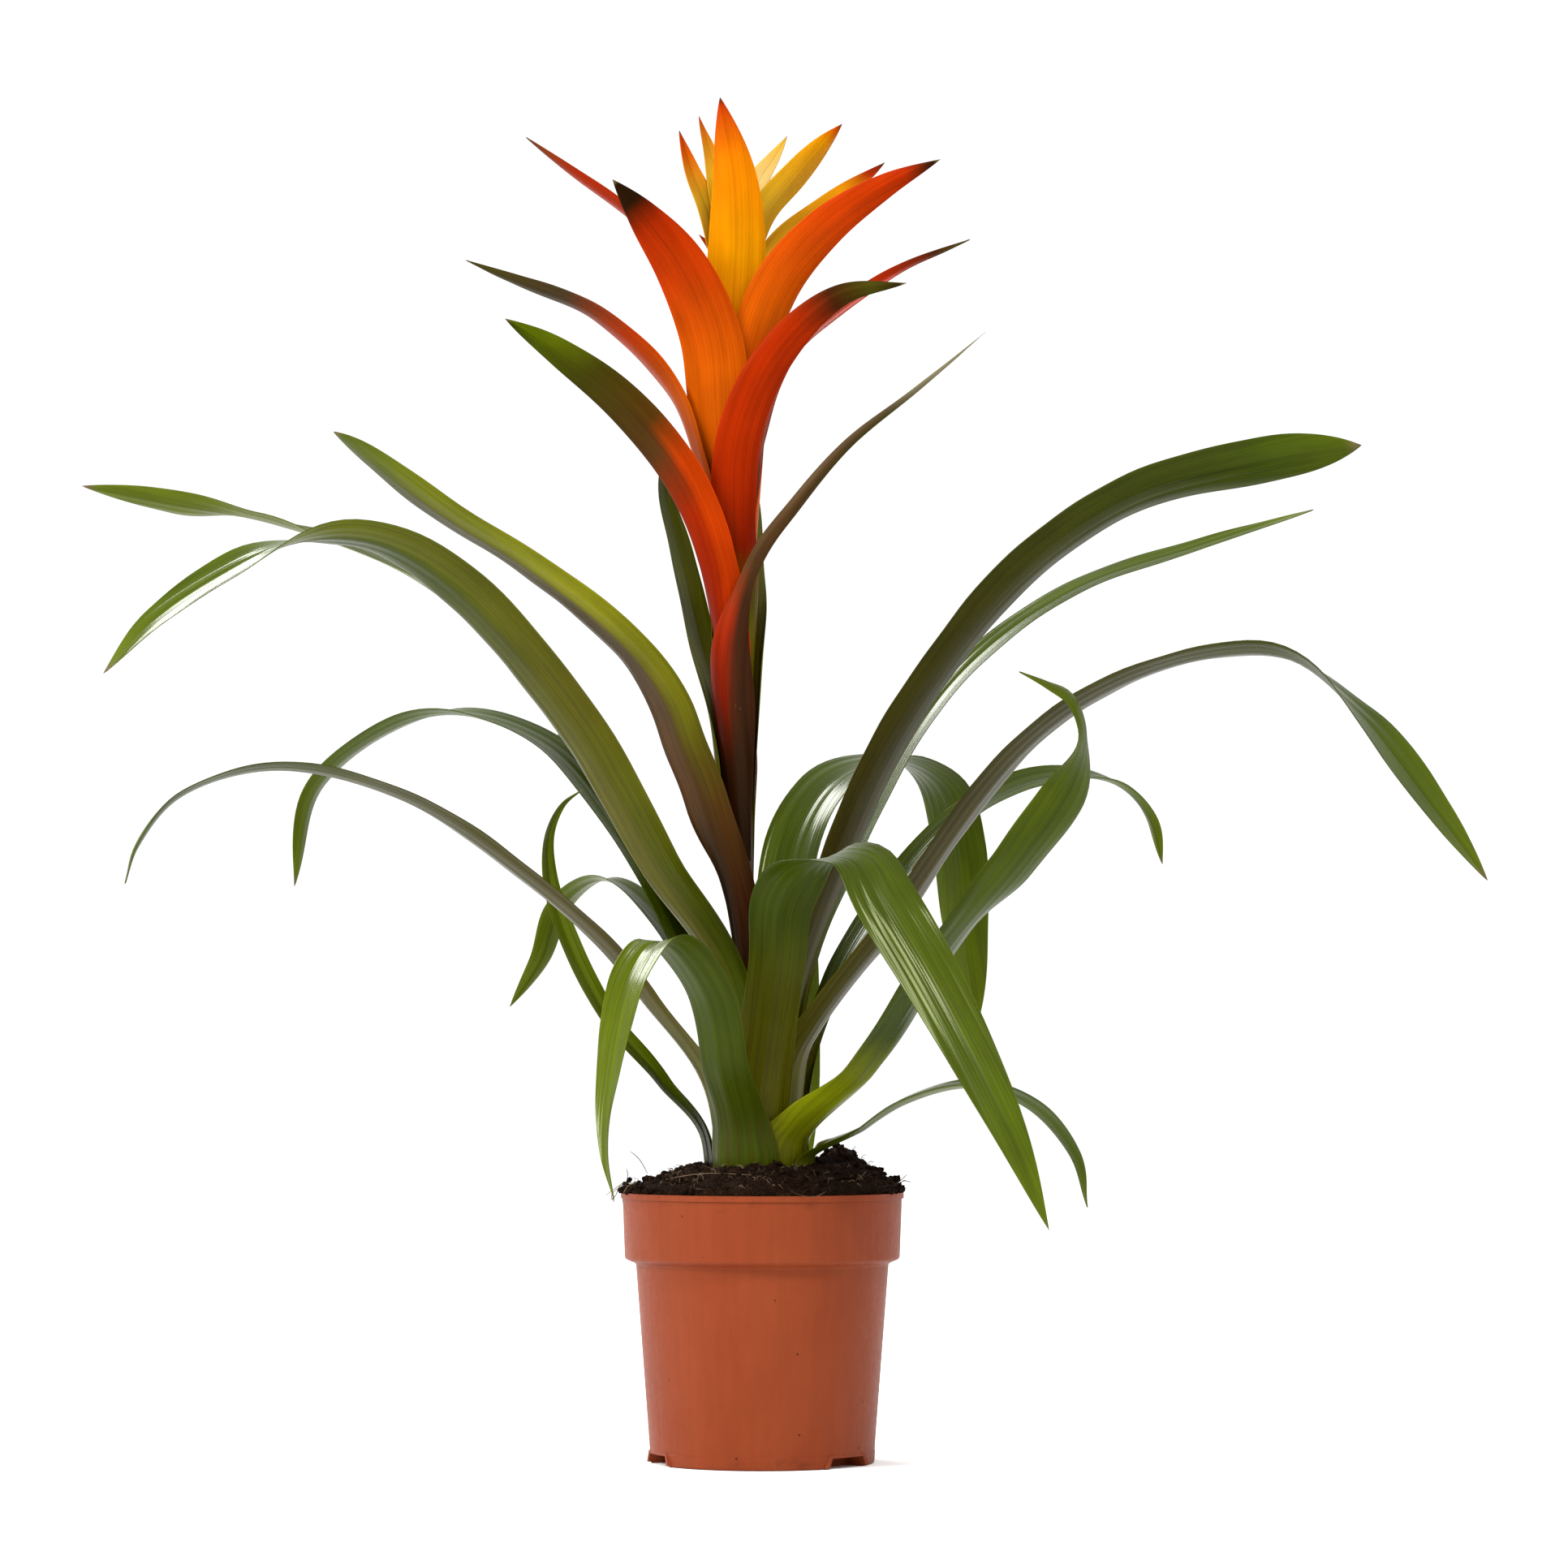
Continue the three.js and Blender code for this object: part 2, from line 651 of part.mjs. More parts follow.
// Outline of the pot's outer skin, from the middle of the base to the lip
function potOuterOutline() {
  return [
    [0, 0],
    [pot.footRadius - pot.footEdge, 0],
    [pot.footRadius, pot.footEdge],
    [pot.bodyTopRadius, pot.bodyTopHeight],
    [pot.bandBottomRadius - pot.bandEdge, pot.bandBottomHeight - pot.bandEdge],
    [pot.bandBottomRadius, pot.bandBottomHeight + pot.bandEdge],
    [pot.bandTopRadius, pot.height - pot.lipHeight],
    [pot.lipRadius, pot.height - pot.lipHeight],
    [pot.lipRadius, pot.height],
  ];
}

// Outline of the inside of the pot, from the rim to the middle of the floor, shrunk by a clearance
function potInnerOutline(clearance) {
  const inset = pot.wall + clearance;
  return [
    [pot.bandTopRadius - inset, pot.height],
    [pot.bandBottomRadius - inset, pot.bandBottomHeight + inset + pot.bandEdge],
    [pot.bodyTopRadius - inset, pot.bodyTopHeight + inset - pot.bandEdge / 2],
    [pot.footRadius - inset, inset],
    [0, inset],
  ];
}

// A bar with the outline of a drainage recess, pointing outwards at an angle, grown by a margin
function recessBar(angle, from, to, margin) {
  const halfFoot = recess.widthAtFoot / 2 + margin;
  const halfTop = recess.widthAtTop / 2 + margin;
  const below = -pot.wall;
  const shape = new THREE.Shape([
    new THREE.Vector2(-halfFoot, below),
    new THREE.Vector2(halfFoot, below),
    new THREE.Vector2(halfTop, recess.height + margin),
    new THREE.Vector2(-halfTop, recess.height + margin),
  ]);
  const geometry = new THREE.ExtrudeGeometry(shape, { depth: to - from, bevelEnabled: false });
  geometry.rotateX(Math.PI / 2);
  geometry.translate(0, -from, 0);
  geometry.rotateZ(THREE.MathUtils.degToRad(angle + 90));
  return geometry;
}

// An upright block through the raised floor of a recess, for its drain hole
function drainBar(angle) {
  const geometry = new THREE.BoxGeometry(recess.drainWidth, recess.drainLength, 2 * recess.height);
  geometry.translate(0, -(recess.innerRadius + recess.drainInset), recess.height);
  geometry.rotateZ(THREE.MathUtils.degToRad(angle + 90));
  return geometry;
}

function potGeometry() {
  const shell = toSolid(turned([...potOuterOutline(), ...potInnerOutline(0)], pot.segments));
  const outside = toSolid(turned([...potOuterOutline(), [0, pot.height]], pot.segments));
  let solid = shell;
  for (const angle of recess.angles) {
    const pocket = recessBar(angle, recess.innerRadius - pot.wall, pot.footRadius, pot.wall);
    solid = solid.add(toSolid(pocket).intersect(outside));
  }
  for (const angle of recess.angles) {
    solid = solid.subtract(toSolid(recessBar(angle, recess.innerRadius, pot.lipRadius, 0)));
    solid = solid.subtract(toSolid(drainBar(angle)));
  }
  return fromSolid(solid);
}

// Uneven top of the peat: crossing waves of two lengths, the mound and the dip
function peatRise(x, y) {
  const coarse = Math.sin(x * 0.21 + 1.3) * Math.sin(y * 0.19 - 0.4);
  const fine = Math.sin(x * 0.47 - y * 0.31) * Math.cos(y * 0.43 + x * 0.17 + 0.8);
  let rise = peat.waveHeight * (coarse + peat.fineShare * fine);
  for (const mound of peat.mounds) {
    const aside = (x - mound.x) / mound.length;
    const forward = (y - mound.y) / mound.depth;
    rise += mound.height * Math.exp(-(aside ** 2) - forward ** 2);
  }
  return rise;
}

// The peat fills the pot and heaps up to the plant, with room for the plant and the recesses
function soilGeometry() {
  const rim = pot.bandTopRadius - pot.wall - gap;
  const geometry = turned([
    ...potInnerOutline(gap).slice(1).reverse(),
    [rim, pot.height - 1],
    [rim, soil.rimHeight - soil.rimEdge],
    [rim - soil.rimEdge, soil.rimHeight],
    ...soil.heap,
    [soil.plantHoleRadius + 1, soil.crownHeight],
    [0, soil.crownHeight],
  ], pot.segments);
  const position = geometry.getAttribute('position');
  for (let i = 0; i < position.count; i += 1) {
    if (position.getZ(i) > soil.rimHeight - gap) {
      position.setZ(i, position.getZ(i) + peatRise(position.getX(i), position.getY(i)));
    }
  }
  const above = 2 * soil.crownHeight;
  const plantRoom = turned([
    [0, stem.bottom - gap],
    [stem.stockRadius + gap, stem.bottom - gap],
    [stem.stockRadius + gap, soil.plantHoleFloor],
    [soil.plantHoleRadius, soil.plantHoleFloor],
    [soil.plantHoleRadius + soil.plantHoleFlare, soil.crownHeight],
    [soil.plantHoleRadius + soil.plantHoleFlare, above],
    [0, above],
  ], pot.segments / 2);
  let solid = toSolid(geometry).subtract(toSolid(plantRoom));
  for (const angle of recess.angles) {
    const from = recess.innerRadius - pot.wall - gap;
    solid = solid.subtract(toSolid(recessBar(angle, from, pot.lipRadius, pot.wall + gap)));
  }
  return fromSolid(solid);
}

// Colours and finishes
function finish(colour, roughness) {
  return new THREE.MeshStandardMaterial({ color: colour, roughness, metalness: 0 });
}

const finishes = {
  pot: finish(0xa85435, 0.55),
  soil: finish(0x2b1d14, 0.95),
  stem: finish(0x8a8f45, 0.6),
  leaf: finish(0x47602a, 0.4),
  stalkLeaf: finish(0x5a4a38, 0.45),
  redBract: finish(0xc2391f, 0.45),
  yellowBract: finish(0xeaa32c, 0.45),
};

// Finish of a leaf or bract on the flower stalk, which is told by its name
function stalkFinish(name) {
  if (!name.startsWith('bract')) {
    return finishes.stalkLeaf;
  }
  return /top|yellow/.test(name) ? finishes.yellowBract : finishes.redBract;
}

const group = new THREE.Group();

function addPiece(name, geometry, material) {
  const mesh = new THREE.Mesh(geometry, material);
  mesh.name = name;
  group.add(mesh);
}

addPiece('pot', potGeometry(), finishes.pot);
addPiece('soil', soilGeometry(), finishes.soil);
addPiece('stem', stemGeometry(), finishes.stem);
for (const leaf of rosetteLeaves) {
  addPiece(leaf.name, leafGeometry(leaf, rosetteNest(leaf)), finishes.leaf);
}
for (const leaf of stalkLeaves) {
  addPiece(leaf.name, leafGeometry(leaf, stalkNest(leaf)), stalkFinish(leaf.name));
}

export default group;
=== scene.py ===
"""Potted guzmania: a bromeliad with an upright flower head, in a plain plastic nursery pot.

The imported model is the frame. Each of its solids is replaced by a finer mesh of the same form.
The tables are in millimetres, like the part's own source, and MM turns them into Blender's metres.
"""

import functools
import math
import random
from types import SimpleNamespace as Fields

import bmesh
import bpy
import numpy as np
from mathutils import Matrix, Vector, noise


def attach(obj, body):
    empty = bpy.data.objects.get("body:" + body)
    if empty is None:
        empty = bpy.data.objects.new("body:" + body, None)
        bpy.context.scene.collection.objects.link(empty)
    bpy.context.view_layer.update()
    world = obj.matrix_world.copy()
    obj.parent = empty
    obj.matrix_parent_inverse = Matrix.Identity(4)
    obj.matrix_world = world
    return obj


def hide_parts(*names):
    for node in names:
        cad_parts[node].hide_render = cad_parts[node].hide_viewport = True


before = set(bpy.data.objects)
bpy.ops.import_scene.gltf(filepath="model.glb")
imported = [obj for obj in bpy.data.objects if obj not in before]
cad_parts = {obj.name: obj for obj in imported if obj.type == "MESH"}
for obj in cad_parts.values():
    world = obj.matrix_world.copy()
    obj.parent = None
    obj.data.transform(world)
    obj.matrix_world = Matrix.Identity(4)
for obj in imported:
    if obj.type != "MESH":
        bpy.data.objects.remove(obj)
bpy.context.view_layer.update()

MM = 0.001
GAP = 0.3
TURN = 2 * math.pi

# Driving dimensions, the same as the part's
POT = Fields(
    height=114, wall=1.2, foot_radius=47.5, foot_edge=1.5, body_top_radius=53.6, body_top=84,
    band_bottom_radius=58.3, band_bottom=86, band_edge=1, band_top_radius=59.2,
    lip_radius=60, lip_height=2.5, ridge_height=5.2, ridge_depth=0.2,
)
RECESS = Fields(
    height=4.5, width_at_foot=25, width_at_top=20, inner_radius=37, angles=(-40, -160, 80),
    drain_length=9, drain_width=4, drain_inset=5,
)
SOIL = Fields(
    rim_height=117, crown_height=125, crown_radius=25, heap=((33, 124.6), (41, 123.4), (50, 121)),
    hole_floor=118, hole_clearance=1.1, hole_sag=0.6, lowest=114,
)
# Grain and clods are fractal noise, given as size, height, roughness, growth and octaves
PEAT = Fields(
    wave_height=1.1, fine_share=0.7, grain=(3.2, 0.9, 0.7, 2.2, 4), clod=(9, 1.1, 1.0, 2.1, 2),
    # A mound on the right and a dip on the left: x, y, height, length, depth
    mounds=((35, 10, 7.5, 12, 12), (-46, 0, -3, 15, 45)),
)
STEM = Fields(bottom=106, top=512, stock_radius=7.6)
ROSETTE = Fields(first_ring=8.6, ring_step=2.5, flare=0.1, wrap=45, sheath_width=1.3)
BLADE = Fields(
    thickness=0.7, crowding=1.25, taper=4, opens_from=0.75, opens_over=0.18,
    waist=0.16, waist_place=0.22, waist_length=0.14,
)
PEAT_EDGE = POT.band_top_radius - POT.wall - GAP
PEAT_HEAP = (
    (0, SOIL.crown_height), (SOIL.crown_radius, SOIL.crown_height), *SOIL.heap,
    (PEAT_EDGE, SOIL.rim_height),
)

# What the fine meshes have beyond the solids: a keel, thin edges and slightly waved margins on
# the blades, rounded corners on the pot, and more sides and rings everywhere
FINE = Fields(
    stations=90, lanes=16, curve_steps=60, edge_thickness=0.28, keel=0.45, keel_width=2.2,
    wave=0.25, wave_length=80, beats=(0.8, 1.25), overtone=2.3, calm_tip=0.08,
    # How far apart the patterns of two leaves lie, and those of the two faces of one
    leaf_apart=7.3, faces_apart=3.1,
    pot_sides=180, shoulder_round=0.8, band_round=1.2, lip_round=0.35, sharp_angle=40,
    stem_sides=32, stem_rings=80, soil_sides=240, soil_rings=44, hole_draft=0.2, hole_softness=8,
)

# Radius of the stem by height, and its axis as height, x and y
STEM_PROFILE = (
    (106, 7.6), (140, 7.2), (175, 5.4), (205, 4.2), (300, 4.6), (360, 5), (440, 4.8), (490, 3.6),
    (509, 2.2), (512, 0.8),
)
STEM_AXIS = ((106, 0, 0), (150, -1, 0), (242, -8, -1), (380, -11.5, -2), (512, -12, -4))
# Slope at which the sheaths on the stalk spread out from it, by height
SHEATH_SPREAD = ((190, 0.07), (280, 0.08), (330, 0.085), (600, 0.09))
SPREAD_STEPS = 200
SPREAD_PAST_TIP = 60

# Colours as they look in soft daylight, in sRGB from 0 to 255
TONES = dict(
    deep_green=(44, 56, 0),
    leaf_green=(62, 76, 0),
    fresh_green=(80, 96, 2),
    bright_green=(98, 114, 6),
    pale_green=(118, 122, 36),
    yellow_green=(146, 146, 8),
    spring_green=(150, 160, 12),
    olive=(98, 94, 4),
    dark_olive=(68, 66, 10),
    purple_olive=(74, 64, 16),
    purple_grey=(84, 66, 44),
    clay_grey=(140, 132, 100),
    purple_brown=(94, 58, 26),
    maroon=(66, 26, 6),
    dark_brown=(30, 12, 2),
    earth_brown=(88, 54, 12),
    dry_straw=(120, 104, 66),
    deep_red=(148, 26, 0),
    red=(184, 42, 0),
    vermilion=(208, 62, 2),
    orange=(226, 96, 2),
    amber=(242, 130, 0),
    golden=(250, 160, 0),
    yellow=(252, 194, 40),
    cream=(252, 214, 130),
    clay=(160, 68, 34),
    light_clay=(167, 75, 40),
    clay_shadow=(90, 38, 20),
    peat_dark=(18, 11, 8),
    peat_brown=(66, 42, 24),
    peat_fibre=(96, 64, 38),
    root_straw=(150, 124, 92),
)

# Rows of tones along a blade, each tone with its percentage of the length from the foot
GREEN_TOP = "0 yellow_green, 14 olive, 30 leaf_green, 90 fresh_green, 100 bright_green"
GREEN_UNDER = "0 yellow_green, 14 olive, 34 leaf_green, 80 fresh_green, 100 bright_green"
DARK_UNDER = "0 yellow_green, 12 olive, 30 purple_olive, 60 dark_olive, 90 leaf_green, 100 fresh_green"
FRESH_TOP = "0 yellow_green, 12 fresh_green, 50 bright_green, 100 bright_green"

# Rosette leaves from the innermost ring to the outermost. Azimuth is seen from above, 0 at +X.
# The sheath opens at a height, and the path runs from there along the middle of the blade.
# Cup is half the turn of the blade's cross-section, and roll turns it about the path.
# Top and under are the tones of the two faces, and under_right those that the underside turns
# into towards its right edge, seen from the stem: painted light and shade, which make one half
# of the underside lighter or darker than the other, as if the light fell on it differently.
ROSETTE_LEAVES = [
    dict(name="leaf_right_broad", ring=0, azimuth=-30, opens=184, width=24, cup=22, taper=24,
         roll=(0, -12, -14, -24, -60),
         path=((18, -12, 200), (36, -24, 262), (60, -40, 311), (105, -64, 369), (152, -84, 401),
               (204, -98, 414), (244, -108, 420)),
         under=DARK_UNDER),
    dict(name="leaf_left_broad", ring=0, azimuth=-135, opens=186, width=26, taper=12,
         roll=(0, 8, 15, 13, 16, 19, 17, -25, -31),
         path=((-18, -22, 200), (-43, -54, 249), (-79, -92, 311), (-124, -136, 361), (-154, -159, 376),
               (-183, -176, 374), (-211, -190, 359), (-235, -200, 341), (-254, -206, 320)),
         under="0 yellow_green, 12 olive, 40 olive, 70 leaf_green, 100 leaf_green",
         # under_right is painted light and shade across the underside, by halves
         under_right="0 olive, 14 fresh_green, 50 olive, 100 bright_green"),
    dict(name="leaf_left_high", ring=1, azimuth=168, opens=175, wrap=38, width=22, cup=20, taper=14,
         roll=(0, 1, -1, 0, 0, -1, -1, -2, -6, -12, 6, 40, 50),
         path=((-30, 12, 215), (-62, 28, 287), (-106, 42, 341), (-155, 50, 381.6), (-214, 48, 404),
               (-256, 43, 411.5), (-296, 38, 419)),
         under="0 yellow_green, 50 pale_green, 100 bright_green"),
    dict(name="leaf_right_back", ring=1, azimuth=20, opens=176, width=19, cup=20, taper=10, waist=0.35,
         roll=(0, 6, 16, 18),
         path=((24, 8, 214), (46, 20, 271), (83, 38, 333), (135, 54, 374), (192, 65, 395),
               (243, 70, 412))),
    dict(name="leaf_right_long", ring=2, azimuth=-42, opens=164, width=24, cup=20, taper=14,
         roll=(0, 4, 8, 12, 12, 12, 5, 43, 49),
         path=((32, -20, 185), (57, -34, 229), (107, -58, 297), (144, -78, 323), (183, -94, 335),
               (215, -108, 333), (242, -120, 309), (269, -132, 272), (290, -138, 242)),
         under=DARK_UNDER),
    dict(name="leaf_back_arching", ring=2, azimuth=66, opens=160, width=29, cup=20, taper=12,
         roll=(0, 0, 0, -1, -2, -15, -32, -37, -39),
         path=((8, 30, 215), (15, 52, 267), (33, 74, 294), (60, 94, 302), (79, 110, 291),
               (86.8, 124, 266), (90.5, 136, 229), (97, 144, 186))),
    dict(name="leaf_left_back", ring=2, azimuth=162, opens=162, width=23, cup=20, taper=10,
         roll=(0, -8, -17, -19, -21, -15, 2, 1, 13),
         path=((-38, 14, 226), (-62, 27, 269), (-93.5, 42, 306.3), (-136, 55, 321), (-168, 66, 312.5),
               (-197.4, 75, 288), (-207, 82, 246))),
    dict(name="leaf_back_right", ring=3, azimuth=32, opens=150, width=20, cup=22, taper=9,
         roll=(0, 3, 4, 7, 10, 15, 21, 4, -41),
         path=((33, 20, 206), (58, 37, 245), (86, 53, 275), (122, 70, 293), (155, 81, 292),
               (171, 87, 277), (177, 90, 256))),
    dict(name="leaf_back_hidden_left", ring=3, azimuth=136, opens=154, width=22, cup=22, taper=10,
         path=((-27, 30, 208), (-49, 52, 262), (-70, 72, 305), (-83, 92, 318), (-92, 110, 314))),
    dict(name="leaf_front_folded", ring=3, azimuth=-98, opens=148, width=28, cup=14, taper=5.5,
         roll=(0, 0, 0, 5, 60, 85, 80, 80, 80),
         path=((1, -26, 172), (6, -48, 210), (9, -74, 236), (22, -94, 251), (39, -108, 252),
               (50, -122, 234), (70, -140, 199), (99, -162, 140), (113, -172, 104))),
    dict(name="leaf_left_long", ring=4, azimuth=-160, opens=138, width=23, cup=20, taper=9,
         roll=(0, 3, 5, 4, 3, 1, 0, 0, 0),
         path=((-33, -12, 169), (-60, -20, 210), (-102, -34, 248), (-150, -50, 279), (-202, -64, 290.5),
               (-240, -75, 278.4), (-256, -80, 258), (-261, -82, 242)),
         under=DARK_UNDER),
    dict(name="leaf_front_right", ring=4, azimuth=-55, opens=132, width=28, cup=20, taper=6, waist=0.4,
         roll=(0, -3, 4, 19, 21, 3, -9, 49, 58),
         path=((22, -25, 141), (47, -48, 172), (77, -78, 217), (107, -102, 254), (126, -114, 283),
               (130.3, -122, 302.3), (125, -128, 315.7), (115, -132, 321), (103, -134, 326)),
         under="0 yellow_green, 16 spring_green, 30 leaf_green, 80 fresh_green, 100 bright_green"),
    dict(name="leaf_back_straight", ring=4, azimuth=94, opens=142, width=26, cup=22, taper=10,
         path=((0, 44, 196), (4, 84, 238), (10, 128, 232), (14, 166, 170), (15, 184, 100))),
    dict(name="leaf_front_left", ring=5, azimuth=-116, opens=130, width=27, cup=20, taper=2.6,
         roll=(0, 0, 0, 25),
         path=((-15, -34, 158), (-22, -56, 197), (-40, -82, 219), (-52, -106, 205), (-60, -128, 169),
               (-62, -144, 134), (-58, -150, 115)),
         top=FRESH_TOP,
         under="0 fresh_green, 10 leaf_green, 80 fresh_green, 100 bright_green"),
    dict(name="leaf_back_left", ring=5, azimuth=126, opens=134, width=17, cup=22, taper=8,
         roll=(0, 0, 15, 40),
         path=((-18, 34, 182), (-45, 53, 230), (-70, 72, 249), (-90, 90, 237), (-99, 98, 214),
               (-113, 104, 193)),
         under=FRESH_TOP),
    dict(name="leaf_low_right", ring=5, azimuth=-16, opens=126, width=20, cup=22, taper=5,
         path=((32, -12, 133), (60, -21, 152), (89, -31, 159), (113, -41, 150), (129, -48, 131),
               (135, -52, 109)),
         under=FRESH_TOP),
    dict(name="leaf_low_left", ring=6, azimuth=164, opens=130, width=12, cup=20, taper=5,
         roll=(0, -25, -35, -20),
         path=((-44, 12, 162), (-68, 15, 191), (-89, 18, 237), (-92, 18, 264), (-86, 18, 279),
               (-77, 17, 286)),
         top=FRESH_TOP),
]

